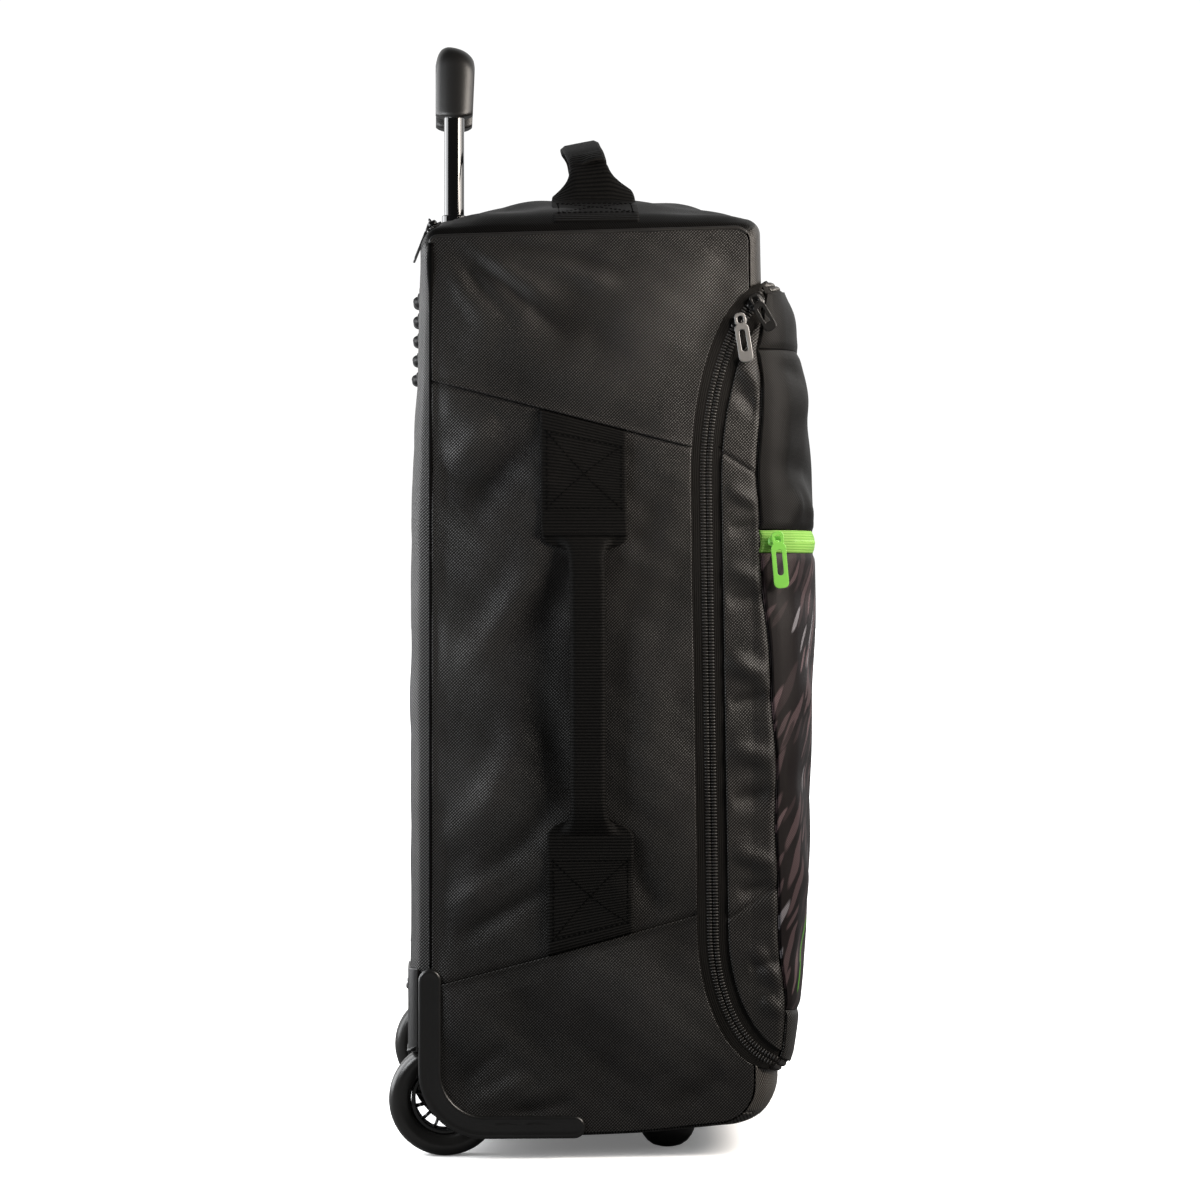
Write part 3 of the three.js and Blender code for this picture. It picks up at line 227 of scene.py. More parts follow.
# %% [markdown]
# ## Finishes
# Cloth is woven, so its colour and its relief both come from crossed sine waves laid
# on the panel's own UV map, which is in metres. Clouds of noise vary the tone, and a
# panel's fold value, stored on its points, paints highlight on its ridges and shade in its creases.
# Moulded pieces have no UV map, so their grain reads Object coordinates.

# %% Finish helpers


def new_finish(name, roughness, **sockets):
    finish = bpy.data.materials.new(name)
    finish.use_nodes = True
    tree = finish.node_tree
    shader = tree.nodes["Principled BSDF"]
    shader.inputs["Roughness"].default_value = roughness
    for socket, value in sockets.items():
        shader.inputs[socket.replace("_", " ")].default_value = value
    return finish, tree, shader


def mix_colour(tree, share, first, second, blend="MIX"):
    sockets = {0: share, 6: first, 7: second}
    return add_node(tree, "ShaderNodeMix", sockets, data_type="RGBA", blend_type=blend).outputs[2]


def add_bump(tree, shader, height, strength, distance):
    """Relief from a height, with the distance in millimetres."""
    sockets = {"Height": height, "Strength": strength, "Distance": distance * MM}
    bump = add_node(tree, "ShaderNodeBump", sockets)
    tree.links.new(bump.outputs["Normal"], shader.inputs["Normal"])


def grey(value, tint=(1, 1, 1)):
    return (value * tint[0], value * tint[1], value * tint[2], 1)


# %% Woven cloth
WARM = (1.06, 1.0, 0.93)
COOL = (0.98, 1.0, 1.03)


def clouds(tree, size, detail=3):
    """Soft noise on Object coordinates, with lumps of about the given size in millimetres."""
    where = add_node(tree, "ShaderNodeTexCoord", {}).outputs["Object"]
    noise = {"Vector": where, "Scale": 1 / (size * MM), "Detail": detail, "Roughness": 0.55}
    return add_node(tree, "ShaderNodeTexNoise", noise).outputs["Fac"]


def uv_wave(tree, pitch, lean, low=0.0, high=1.0):
    """Soft stripes on the UV map, a pitch in millimetres apart, turned by lean degrees."""
    where = add_node(tree, "ShaderNodeUVMap", {}).outputs["UV"]
    turned = add_node(tree, "ShaderNodeMapping", {"Vector": where, "Rotation": (0, 0, math.radians(lean))})
    across = add_node(tree, "ShaderNodeSeparateXYZ", {"Vector": turned.outputs["Vector"]}).outputs["X"]
    wave = maths(tree, "SINE", maths(tree, "MULTIPLY", across, 2 * math.pi / (pitch * MM)))
    return map_range(tree, wave, -1.0, 1.0, low, high)


def twill_pattern(tree, thread):
    """Slanting ribs broken into dots, as a twill weave shows."""
    ribs = uv_wave(tree, thread, 45)
    dots = uv_wave(tree, thread * 1.15, -45, 0.3, 1.0)
    return maths(tree, "MULTIPLY", ribs, dots)


def rough_clouds(tree, shader, size, low, high):
    """Roughness that wanders between two values."""
    tree.links.new(map_range(tree, clouds(tree, size), 0.3, 0.7, low, high), shader.inputs["Roughness"])


# Tone of the cloth in the deepest crease and on the highest ridge of a panel: painted shade and painted
# highlight.
PAINTED_FOLD_TONES = (0.45, 1.55)


def woven_cloth(name, dark, light, thread, roughness, relief, shine):
    """Cloth with painted highlight and more gloss where a panel's fold value is high, painted shade where it
    is low, and plain where a panel has none.
    """
    finish, tree, shader = new_finish(name, roughness)
    rub = add_node(tree, "ShaderNodeAttribute", {}, attribute_name="rub").outputs["Fac"]
    # The fold value becomes a tone: painted shade in the creases, painted highlight on the ridges.
    wear_and_painted_light = map_range(tree, rub, -1.0, 1.0, *PAINTED_FOLD_TONES)
    rough_clouds(tree, shader, 60, roughness - 0.05, roughness + 0.07)
    weave = twill_pattern(tree, thread)
    gap = mix_colour(tree, clouds(tree, 110), grey(0.1, COOL), grey(0.24, WARM))
    gloss = map_range(tree, weave, 0.0, 1.0, 0.03, shine)
    # The same painted light raises the gloss on the ridges and lowers it in the creases.
    tree.links.new(maths(tree, "MULTIPLY", gloss, wear_and_painted_light), shader.inputs["Specular IOR Level"])
    tone = mix_colour(tree, clouds(tree, 90), dark, light)
    # The cloth's tone times the painted shade and highlight.
    tone = mix_colour(tree, 1.0, tone, wear_and_painted_light, "MULTIPLY")
    thread_tone = mix_colour(tree, weave, gap, grey(1.0))
    tree.links.new(mix_colour(tree, 1.0, tone, thread_tone, "MULTIPLY"), shader.inputs["Base Color"])
    add_bump(tree, shader, weave, relief, 0.25)
    return finish


twill = woven_cloth("charcoal_twill", grey(0.026, COOL), grey(0.042, WARM), 1.5, 0.44, 0.8, 0.7)
satin = woven_cloth("charcoal_satin", grey(0.0075, COOL), grey(0.012, WARM), 1.2, 0.48, 0.25, 0.2)
pale_satin = woven_cloth("grey_satin", grey(0.04, WARM), grey(0.055, WARM), 1.2, 0.42, 0.2, 0.4)
# A satin more than ten times paler than the charcoal one, for the strip low on the front.
floor_satin = woven_cloth("floor_satin", grey(0.11, WARM), grey(0.15, WARM), 1.2, 0.42, 0.2, 0.6)
print("cloth finishes:", twill.name, satin.name, pale_satin.name, floor_satin.name)

# %% [markdown]
# The front pocket carries an all-over print. A plain design of slanted dashes in
# mauve grey, with a few pale and lime ones, comes from stretched Voronoi cells:
# each cell holds one dash, and the cell's own random colour picks its tone.

# %% Printed cloth
# Width and length of the streaks' cells, their lean and how much of a cell is inked.
STREAKS = [
    {"across": 11, "along": 84, "lean": 27, "reach": 0.3, "scatter": 0.9},
    {"across": 8, "along": 52, "lean": 34, "reach": 0.24, "scatter": 0.8},
]
ROSE = (1.32, 0.88, 0.95)
STREAK_TONES = [
    (0.0, grey(0.022, ROSE)),
    (0.3, grey(0.055, ROSE)),
    (0.7, grey(0.092, ROSE)),
    (0.9, grey(0.2, (1.02, 0.97, 1.06))),
    (0.985, (0.1, 0.36, 0.03, 1)),
]


def streak_layer(tree, row):
    """Inked share and tone of one layer of slanted streaks."""
    where = add_node(tree, "ShaderNodeUVMap", {}).outputs["UV"]
    turn = (0, 0, math.radians(row["lean"]))
    lean = add_node(tree, "ShaderNodeMapping", {"Vector": where, "Rotation": turn})
    bend = {"Vector": lean.outputs["Vector"], "Scale": 22.0, "Detail": 1.0}
    wander = add_node(tree, "ShaderNodeTexNoise", bend).outputs["Color"]
    swayed = add_node(
        tree, "ShaderNodeVectorMath", {0: wander, 1: (0.012, 0.0, 0.0), 2: lean.outputs["Vector"]},
        operation="MULTIPLY_ADD").outputs[0]
    stretch = {"Vector": swayed, "Scale": (1 / (row["across"] * MM), 1 / (row["along"] * MM), 1)}
    cells = add_node(tree, "ShaderNodeMapping", stretch).outputs["Vector"]
    spots = {"Vector": cells, "Scale": 1.0, "Randomness": row["scatter"]}
    voronoi = add_node(tree, "ShaderNodeTexVoronoi", spots, voronoi_dimensions="2D")
    inked = map_range(tree, voronoi.outputs["Distance"], row["reach"], row["reach"] - 0.06, 0.0, 1.0)
    pick = add_node(tree, "ShaderNodeSeparateColor", {"Color": voronoi.outputs["Color"]}).outputs["Red"]
    ramp = add_node(tree, "ShaderNodeValToRGB", {"Fac": pick})
    ramp.color_ramp.interpolation = "CONSTANT"
    while len(ramp.color_ramp.elements) < len(STREAK_TONES):
        ramp.color_ramp.elements.new(0.5)
    for stop, (position, colour) in zip(ramp.color_ramp.elements, STREAK_TONES):
        stop.position = position
        stop.color = colour
    return inked, ramp.outputs["Color"]


def streaked_print(name):
    finish, tree, shader = new_finish(name, 0.5, Specular_IOR_Level=0.16)
    rough_clouds(tree, shader, 60, 0.46, 0.56)
    printed = mix_colour(tree, clouds(tree, 70), grey(0.0045, ROSE), grey(0.0075, ROSE))
    for row in STREAKS:
        inked, tone = streak_layer(tree, row)
        printed = mix_colour(tree, inked, printed, tone)
    weave = twill_pattern(tree, 1.2)
    woven = mix_colour(tree, weave, grey(0.55), grey(1.0))
    tree.links.new(mix_colour(tree, 1.0, printed, woven, "MULTIPLY"), shader.inputs["Base Color"])
    add_bump(tree, shader, weave, 0.25, 0.2)
    return finish


pocket_print = streaked_print("pocket_print")
print("printed cloth:", pocket_print.name)

# %% [markdown]
# Webbing and zip tape are ribbed ribbons. A sine wave along the ribbon's UV gives
# the ribs, so the ribs turn with the ribbon wherever it goes.

# %% Ribbed ribbons


def ribbed_ribbon(name, dark, light, pitch, roughness, relief, lean=90):
    """A ribbon with ribs across it (lean 90) or along it (lean 0)."""
    finish, tree, shader = new_finish(name, roughness, Specular_IOR_Level=0.08)
    rib = uv_wave(tree, pitch, lean)
    height = maths(tree, "ADD", rib, clouds(tree, 1.2, 2))
    tone = mix_colour(tree, rib, dark, light)
    wear_and_painted_light = mix_colour(tree, clouds(tree, 25), grey(0.75), grey(1.0))
    tree.links.new(mix_colour(tree, 1.0, tone, wear_and_painted_light, "MULTIPLY"), shader.inputs["Base Color"])
    add_bump(tree, shader, height, relief, 0.5)
    return finish


webbing = ribbed_ribbon("black_webbing", grey(0.0015), grey(0.0095, WARM), 2.2, 0.6, 0.7)
zip_tape = ribbed_ribbon("black_zip_tape", grey(0.006, WARM), grey(0.012, WARM), 1.8, 0.66, 0.3, 0)
lime_tape = ribbed_ribbon("lime_zip_tape", (0.16, 0.37, 0.065, 1), (0.26, 0.48, 0.11, 1), 1.8, 0.6, 0.3)
print("ribbons:", webbing.name, zip_tape.name, lime_tape.name)

# %% Moulded and metal finishes


def moulded(name, dark, light, grain, roughness, relief, **sockets):
    """A moulded or metal finish: fine grain in the relief and slow changes of tone."""
    finish, tree, shader = new_finish(name, roughness, **sockets)
    tree.links.new(mix_colour(tree, clouds(tree, 30), dark, light), shader.inputs["Base Color"])
    add_bump(tree, shader, clouds(tree, grain, 2), relief, 0.15)
    return finish


satin_plastic = moulded("satin_black_plastic", grey(0.004), grey(0.008), 0.7, 0.32, 0.25)
grip_plastic = moulded(
    "grained_grip_plastic", grey(0.007), grey(0.012, WARM), 0.9, 0.4, 0.4, Specular_IOR_Level=0.55)
black_rubber = moulded("matt_black_rubber", grey(0.008), grey(0.014), 1.1, 0.5, 0.3)
tyre_rubber = moulded("smooth_tyre_rubber", grey(0.009, WARM), grey(0.014, WARM), 1.4, 0.3, 0.12)
gloss_tube = moulded("gloss_black_tube", grey(0.0015), grey(0.003), 4, 0.08, 0.02, Coat_Weight=1.0)
grey_metal = moulded("satin_grey_metal", grey(0.36), grey(0.46), 0.6, 0.36, 0.15, Metallic=1.0)
dark_metal = moulded("brushed_pull_metal", grey(0.24), grey(0.34), 0.8, 0.34, 0.12, Metallic=1.0)
black_enamel = moulded("black_enamelled_metal", grey(0.002), grey(0.004), 2, 0.26, 0.06)
lime_plastic = moulded("lime_plastic", (0.18, 0.55, 0.07, 1), (0.25, 0.64, 0.1, 1), 1, 0.36, 0.15)
black_thread = moulded("black_thread", grey(0.001), grey(0.002), 0.5, 0.7, 0.5, Specular_IOR_Level=0.04)
zip_coil = moulded("black_zip_coil", grey(0.026), grey(0.04, WARM), 0.8, 0.3, 0.1, Specular_IOR_Level=0.55)
lime_coil = moulded("lime_zip_coil", (0.19, 0.43, 0.065, 1), (0.27, 0.51, 0.1, 1), 0.8, 0.4, 0.2)
print("moulded and metal finishes made")

# %% [markdown]
# ## Mesh helpers
# Nearly every soft piece here is a grid of points: rows one way, columns the other.
# A helper turns such a grid into a mesh with a UV map in metres and faces it
# outwards. Solid pieces are stacks of rings, closed at both ends.

# %% Grids of points


def unit(vectors):
    """The same directions with length one."""
    return vectors / np.linalg.norm(vectors, axis=-1, keepdims=True)


def grid_faces(rows, columns, round_columns=False, round_rows=False):
    """Quads between rows of points, which may close into rings either way."""
    faces = []
    for row in range(rows if round_rows else rows - 1):
        below = (row + 1) % rows
        for column in range(columns if round_columns else columns - 1):
            after = (column + 1) % columns
            a, b = row * columns + column, row * columns + after
            faces.append((a, b, below * columns + after, below * columns + column))
    return faces


def lengths_along(points, axis):
    """Running length of a grid along one axis, taken along the grid's middle line."""
    steps = np.linalg.norm(np.diff(points, axis=axis), axis=-1).mean(axis=1 - axis)
    return np.concatenate([[0], np.cumsum(steps)])


def new_piece(name, points, faces, finish, uv=None):
    """A smooth-shaded mesh object at the origin, with an optional UV value for each point."""
    mesh = bpy.data.meshes.new(name)
    mesh.from_pydata([tuple(p) for p in np.asarray(points, float)], [], faces)
    mesh.polygons.foreach_set("use_smooth", [True] * len(mesh.polygons))
    if uv is not None:
        layer = mesh.uv_layers.new(name="cloth")
        corner = np.empty(len(mesh.loops), int)
        mesh.loops.foreach_get("vertex_index", corner)
        layer.data.foreach_set("uv", np.asarray(uv, float)[corner].ravel())
    mesh.materials.append(finish)
    return into_scene(name, mesh)


def hand_over(piece, body, slot, *nodes):
    """Tells the frame what the piece rides on and the nodes it stands for. The record slot is not used."""
    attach(piece, body)
    if nodes:
        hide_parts(*nodes)
    return piece


# %% Cloth panels and solid stacks
CLOTH_WALL = 1.5


def grid_normals(points):
    down, across = np.gradient(points, axis=0), np.gradient(points, axis=1)
    normal = np.cross(down, across)
    normal /= np.maximum(np.linalg.norm(normal, axis=-1, keepdims=True), 1e-12)
    outward = np.sum(normal * (points - BAG_MIDDLE)) > 0
    return normal if outward else -normal


def add_wall(piece, wall, offset=-1):
    """Thickens a sheet, inwards or (offset 0) both ways."""
    thick = piece.modifiers.new("wall", "SOLIDIFY")
    thick.thickness = wall * MM
    thick.offset = offset
    return piece


def cloth_panel(name, points, finish, wall=CLOTH_WALL, keep=None, flat=None, rub=None):
    """A sewn panel: a grid of points, faced away from the bag's middle, with a wall inside it.

    A keep function of face middles can cut a hole in the panel. The weave runs along the grid,
    or over flat coordinates in millimetres where those are given. The fold value, painted shade and
    highlight, is given for each point.
    """
    rows, columns = points.shape[:2]
    faces = np.array(grid_faces(rows, columns))
    normal = np.cross(np.gradient(points, axis=0), np.gradient(points, axis=1))
    if np.sum(normal * (points - BAG_MIDDLE)) < 0:
        faces = faces[:, ::-1]
    v, u = np.meshgrid(lengths_along(points, 0), lengths_along(points, 1), indexing="ij")
    uv = np.stack([u, v], axis=-1) if flat is None else flat * MM
    uv = uv.reshape(-1, 2)
    points = points.reshape(-1, 3)
    if keep is not None:
        used, faces = np.unique(faces[keep(points[faces].mean(axis=1))], return_inverse=True)
        points, uv, faces = points[used], uv[used], faces.reshape(-1, 4)
    piece = new_piece(name, points, faces.tolist(), finish, uv)
    # The fold value is stored on the points as painted shade and highlight for the cloth's colour.
    if rub is not None:
        piece.data.attributes.new("rub", "FLOAT", "POINT").data.foreach_set("value", rub.ravel())
    return add_wall(piece, wall)


def cap_faces(ring, start, flip):
    corners = [Vector(p) for p in ring]
    triangles = tessellate_polygon([corners])
    return [tuple(start + i for i in (t[::-1] if flip else t)) for t in triangles]


def solid_stack(name, rings, finish, uv=None):
    """A closed solid from a stack of equal rings of points in metres."""
    rings = [np.asarray(ring, float) for ring in rings]
    count = len(rings[0])
    points = np.concatenate(rings)
    faces = grid_faces(len(rings), count, round_columns=True)
    faces += cap_faces(rings[0], 0, True)
    faces += cap_faces(rings[-1], len(points) - count, False)
    return face_outwards(new_piece(name, points, faces, finish, uv))


def face_outwards(piece):
    work = bmesh.new()
    work.from_mesh(piece.data)
    bmesh.ops.remove_doubles(work, verts=work.verts, dist=1e-7)
    bmesh.ops.recalc_face_normals(work, faces=work.faces)
    work.to_mesh(piece.data)
    work.free()
    piece.data.polygons.foreach_set("use_smooth", [True] * len(piece.data.polygons))
    return piece


def soften_edges(piece, width, segments=3, angle=35):
    """Rounds the sharp edges of a solid, as a mould does."""
    bevel = piece.modifiers.new("soft_edges", "BEVEL")
    bevel.width = width * MM
    bevel.segments = segments
    bevel.limit_method = "ANGLE"
    bevel.angle_limit = math.radians(angle)
    bevel.harden_normals = True
    return piece


# %% [markdown]
# ## The body's form
# The wrap of the bag (base, back, top and front) is known at a few sections across
# the width. A curve that never overshoots glides through that short table, so each
# panel is smooth and its edges still pull in towards the side seams.

# %% Smooth tables


def glide(keys, values, at):
    """A smooth curve through a table that never overshoots it."""
    keys, values, at = (np.asarray(a, float) for a in (keys, values, at))
    step = np.diff(keys)
    slope = np.diff(values) / step
    tangent = np.concatenate([slope[:1], np.zeros(len(slope) - 1), slope[-1:]])
    agree = slope[:-1] * slope[1:] > 0
    total = np.where(agree, slope[:-1] + slope[1:], 1)
    tangent[1:-1] = np.where(agree, 2 * slope[:-1] * slope[1:] / total, 0)
    i = np.clip(np.searchsorted(keys, at) - 1, 0, len(step) - 1)
    t = np.clip((at - keys[i]) / step[i], 0, 1)
    rise = values[i + 1] - values[i]
    lean = tangent[i] * step[i]
    end = tangent[i + 1] * step[i]
    return values[i] + t * (lean + t * (3 * rise - 2 * lean - end + t * (lean + end - 2 * rise)))


def mirrored_glide(keys, values, at):
    """The same for a table given from the middle of the width outwards."""
    both = np.concatenate([-np.asarray(keys)[:0:-1], keys])
    twice = np.concatenate([np.asarray(values)[:0:-1], values])
    return glide(both, twice, at)


def bell(off, width):
    """A soft bump, 1 high in its middle and gone at about twice its width."""
    return np.exp(-((off / width) ** 2))


def ripple(a, b, size, seed, waves=8):
    """Seeded soft bumps, about 1 high, from a handful of sine waves of like size."""
    draw = np.random.default_rng(seed)
    total = np.zeros(np.broadcast(a, b).shape)
    for _ in range(waves):
        turn, phase = draw.uniform(0, 2 * math.pi, 2)
        length = size * draw.uniform(0.7, 1.5)
        total += np.sin((a * math.cos(turn) + b * math.sin(turn)) * 2 * math.pi / length + phase)
    return total / math.sqrt(waves)


# %% Sections of the wrap
HALF_WIDTH = 175
TOP_BACK_Z, TOP_FRONT_Z = 645, 652
CORNER = {"bottom_front": 26, "top_front": 9, "bottom_back": 40}
BODY_COLUMNS = (
    "x", "back", "back_top", "front", "front_top", "bottom", "front_lift", "back_lift", "crown", "top_back")
BODY_SECTIONS = np.array([
    [0, -23, -16.5, 241, 227, 20, 12, 21, 20, 21],
    [90, -23, -16.5, 239, 225.5, 20, 11, 18.5, 15, 21],
    [158, -22.5, -16, 231, 220, 20, 7, 10, 6, 18],
    [171, -17.5, -13, 224, 217, 20, 3, 6, 2, 9],
    [175, -9.5, -9.5, 216, 212, 21, 0, 0, 0, 4],
])
SIDE_BACK = BODY_SECTIONS[-1, 1]
# Sag and rise of the base from the back corner (0) to the front corner (1).
BASE_SWAY = np.array([[0, 0], [0.35, -2.2], [0.6, -1.2], [1, 4.5]])
FRONT_RISE = BASE_SWAY[-1, 1]


def body_section(x):
    keys = BODY_SECTIONS[:, 0]
    return {name: mirrored_glide(keys, BODY_SECTIONS[:, i], x) for i, name in enumerate(BODY_COLUMNS)}


def lerp(a, b, t):
    return a + (b - a) * t


def arc(forward, z, radius, start, end, t):
    angle = np.radians(lerp(start, end, t))
    return forward + radius * np.cos(angle), z + radius * np.sin(angle)


def arch_shape(t):
    return 1 - np.abs(2 * t - 1) ** 3


def top_edge(s, t):
    forward = lerp(s["front_top"] - CORNER["top_front"], s["back_top"] + s["top_back"], t)
    z = lerp(TOP_FRONT_Z + s["front_lift"], TOP_BACK_Z + s["back_lift"], t)
    return forward, z + s["crown"] * arch_shape(t)


def back_edge(s, t):
    z = lerp(TOP_BACK_Z + s["back_lift"] - s["top_back"], s["bottom"] + CORNER["bottom_back"], t)
    rise = np.clip((z - 430) / 170, 0, 1)
    return lerp(s["back"], s["back_top"], rise * rise * (3 - 2 * rise)), z


def front_edge(s, t):
    low = s["bottom"] + FRONT_RISE + CORNER["bottom_front"]
    high = TOP_FRONT_Z + s["front_lift"] - CORNER["top_front"]
    return lerp(s["front"], s["front_top"], t), lerp(low, high, t)


def base_edge(s, t):
    back = s["back"] + CORNER["bottom_back"]
    sway = glide(BASE_SWAY[:, 0], BASE_SWAY[:, 1], t)
    return lerp(back, s["front"] - CORNER["bottom_front"], t), s["bottom"] + sway


def corner_edge(name, s, t):
    radius = s["top_back"] if name == "top_back" else CORNER[name]
    centres = {
        "bottom_front": (s["front"] - radius, s["bottom"] + FRONT_RISE + radius, -90, 0),
        "top_front": (s["front_top"] - radius, TOP_FRONT_Z + s["front_lift"] - radius, 0, 90),
        "top_back": (s["back_top"] + radius, TOP_BACK_Z + s["back_lift"] - radius, 90, 180),
        "bottom_back": (s["back"] + radius, s["bottom"] + radius, 180, 270),
    }
    forward, z, start, end = centres[name]
    return arc(forward, z, radius, start, end, t)


def wrap_edge(name, s, t):
    edges = {"top": top_edge, "back": back_edge, "front": front_edge, "base": base_edge}
    return edges[name](s, t) if name in edges else corner_edge(name, s, t)


print("wrap at mid width: back", BODY_SECTIONS[0, 1], "front", BODY_SECTIONS[0, 3])

# %% [markdown]
# ## Side panels
# Each side is three pieces of twill sewn along two slanting seams. A panel has four
# edges, so a Coons patch fills it: the four edge curves are blended into a grid.
# The relief holds what makes it cloth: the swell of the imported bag, the pull folds
# that the photograph shows, soft ripples, and a groove where two panels meet.

# %% Relief of the sides
SIDE_SWELL = {"rise": 8, "forward": 105, "z": 336, "half_forward": 110, "half_height": 318, "power": 2.6}
SEAM_FRONT = 171
SEAMS = {"upper": ((-4, 543.8), (SEAM_FRONT, 499)), "lower": ((1, 124), (SEAM_FRONT, 170))}
SEAM_LAP = {"over": 0.9, "under": -1.0, "width": 3.0}
FOLD_DEPTH = 1.6
# Fold height that gives full painted highlight on a ridge and full painted shade in a crease.
PAINTED_FOLD_DEPTH = 4.5
# Both ends of each fold as forward and z, then its width and its height.
FOLDS = [
    (-4, 650, 90, 572, 6, -1.5),
    (2, 648, 80, 600, 6, 1.2),
    (-6, 646, 52, 580, 6, -1.2),
    (-6, 640, 34, 572, 7, 0.9),
    (24, 648, 126, 620, 6, -1.7),
    (46, 642, 132, 606, 9, 1.4),
    (60, 600, 130, 560, 22, -2.0),
    (130, 560, 190, 640, 24, 1.8),
    (14, 452, 68, 512, 11, -2.8),
    (0, 484, 34, 520, 10, 2.2),
    (88, 426, 58, 350, 14, -2.4),
    (58, 358, 86, 244, 15, -2.6),
    (8, 338, 76, 428, 11, 2.0),
    (2, 214, 62, 306, 13, 2.0),
    (22, 186, 90, 264, 12, -2.6),
    (6, 154, 76, 194, 8, -2.2),
    (2, 176, 62, 216, 7, 1.4),
    (120, 230, 152, 168, 10, -2.0),
    (16, 36, 62, 60, 6, 1.2),
    (26, 28, 92, 42, 6, -1.3),
    (8, 50, 44, 84, 7, -1.2),
    (50, 120, 70, 50, 22, -1.8),
    (120, 150, 150, 60, 26, 1.6),
    (140, 380, 146, 240, 18, 1.6),
    (150, 480, 130, 420, 14, -1.6),
    (196, 60, 150, 34, 9, -1.2),
]


def fold_relief(forward, z, folds):
    total = np.zeros(np.shape(forward))
    for f0, z0, f1, z1, width, height in folds:
        reach = math.hypot(f1 - f0, z1 - z0)
        along = ((forward - f0) * (f1 - f0) + (z - z0) * (z1 - z0)) / reach ** 2
        off = ((forward - f0) * (z1 - z0) - (z - z0) * (f1 - f0)) / reach
        taper = np.sin(math.pi * np.clip(along, 0, 1)) ** 0.8
        total += height * taper * bell(off, width)
    return total


def seam_z(seam, forward):
    (f0, z0), (f1, z1) = SEAMS[seam]
    return z0 + (forward - f0) * (z1 - z0) / (f1 - f0)


def side_swell(forward, z):
    a = (forward - SIDE_SWELL["forward"]) / SIDE_SWELL["half_forward"]
    b = (z - SIDE_SWELL["z"]) / SIDE_SWELL["half_height"]
    power = SIDE_SWELL["power"]
    along = np.maximum(0, 1 - np.abs(a) ** power)
    return SIDE_SWELL["rise"] * along * np.maximum(0, 1 - np.abs(b) ** (power + 1))


def side_folds(side, forward, z):
    """Folds and ripples of a side, calm near its edges."""
    calm = np.clip(side_swell(forward, z) / 1.1, 0.15, 1)
    soft = FOLD_DEPTH * fold_relief(forward, z, FOLDS)
    soft += 1.0 * ripple(forward, z, 85, 3 + side) + 0.25 * ripple(forward, z, 24, 11 + side)
    return calm * soft


def side_painted_fold_light(side, forward, z):
    """Painted light from the folds: 1 for full painted highlight on a ridge and -1 for full painted shade in
    a crease.
    """
    return np.clip(side_folds(side, forward, z) / PAINTED_FOLD_DEPTH, -1, 1)


def side_relief(side, forward, z, part=None):
    """How far a side stands out from the seam plane, in millimetres.

    At a slanting seam the upper or lower part laps over, and the middle one tucks under.
    """
    forward, z = np.broadcast_arrays(np.asarray(forward, float), np.asarray(z, float))
    lap = np.zeros(forward.shape)
    for seam in SEAMS:
        off = z - seam_z(seam, forward)
        amount = SEAM_LAP["over"] if part == seam else SEAM_LAP["under"]
        lap += amount * bell(off, SEAM_LAP["width"])
    return side_swell(forward, z) + side_folds(side, forward, z) + lap


def on_side(side, forward, z, lift=0.0, part=None):
    return place(side * (HALF_WIDTH + side_relief(side, forward, z, part) + lift), forward, z)


# %% Edge curves of the sides
LID_ROWS = np.array([
    # zSide, zMiddle, seam, crest
    [614, 622, 221, 231], [607, 613, 223, 246], [594, 599, 221, 252], [556, 556, 219, 260],
    [480, 480, 219, 267.5], [420, 420, 223, 271], [320, 320, 228, 267], [170, 170, 235, 262.5],
    [110, 106, 238, 256], [78, 66, 236, 250], [71, 57, 234, 247], [63.5, 50, 227, 237],
])
OPENING = {
    "top": 614, "top_rise": 8, "top_straight": 476, "top_forward": 226, "top_reach": 55,
    "bottom": 62, "bottom_drop": 14, "bottom_straight": 161, "bottom_forward": 230, "bottom_reach": 54,
}
TAPE_WIDTH = 22
PATCH_EASE = 0.6


def eased(count, ease):
    """Shares from 0 to 1, evenly or drawn towards both ends by ease."""
    t = np.linspace(0, 1, count)
    return lerp(t, 0.5 - 0.5 * np.cos(math.pi * t), ease)


def resample(line, count, ease=0.0):
    """Points along a line, evenly or drawn towards both ends by ease."""
    line = np.asarray(line, float)
    run = np.concatenate([[0], np.cumsum(np.linalg.norm(np.diff(line, axis=0), axis=1))])
    t = eased(count, ease)
    return np.stack([np.interp(t * run[-1], run, column) for column in line.T], axis=1)


def seam_sway(z):
    """The lid's side seam wanders a little as the stitches pull."""
    return 1.6 * np.sin(z / 41 + 0.6) + 0.7 * np.sin(z / 13.5) - 1.8 * bell(z - 566, 10)


def lid_seam(z):
    return np.interp(z, LID_ROWS[::-1, 0], LID_ROWS[::-1, 2]) + seam_sway(np.asarray(z, float))


def zip_line(shift):
    """The zip opening on the side, bottom to top, moved forward by shift and ended at the lid seam."""
    turn = np.linspace(0, math.pi / 2, 60)
    # A line moved forward ends a little nearer to mid height.
    edge = 0.3 + 0.4 * shift if shift > 0 else 0
    low = OPENING["bottom_straight"] - OPENING["bottom"] - edge
    high = OPENING["top"] - OPENING["top_straight"] - edge
    bottom = np.stack([
        OPENING["bottom_forward"] + shift - OPENING["bottom_reach"] * np.cos(turn),
        OPENING["bottom_straight"] - low * np.sin(turn)], axis=1)[::-1]
    top = np.stack([
        OPENING["top_forward"] + shift - OPENING["top_reach"] * np.cos(turn),
        OPENING["top_straight"] + high * np.sin(turn)], axis=1)
    line = np.concatenate([bottom, top])
    return line[line[:, 0] <= lid_seam(line[:, 1])]


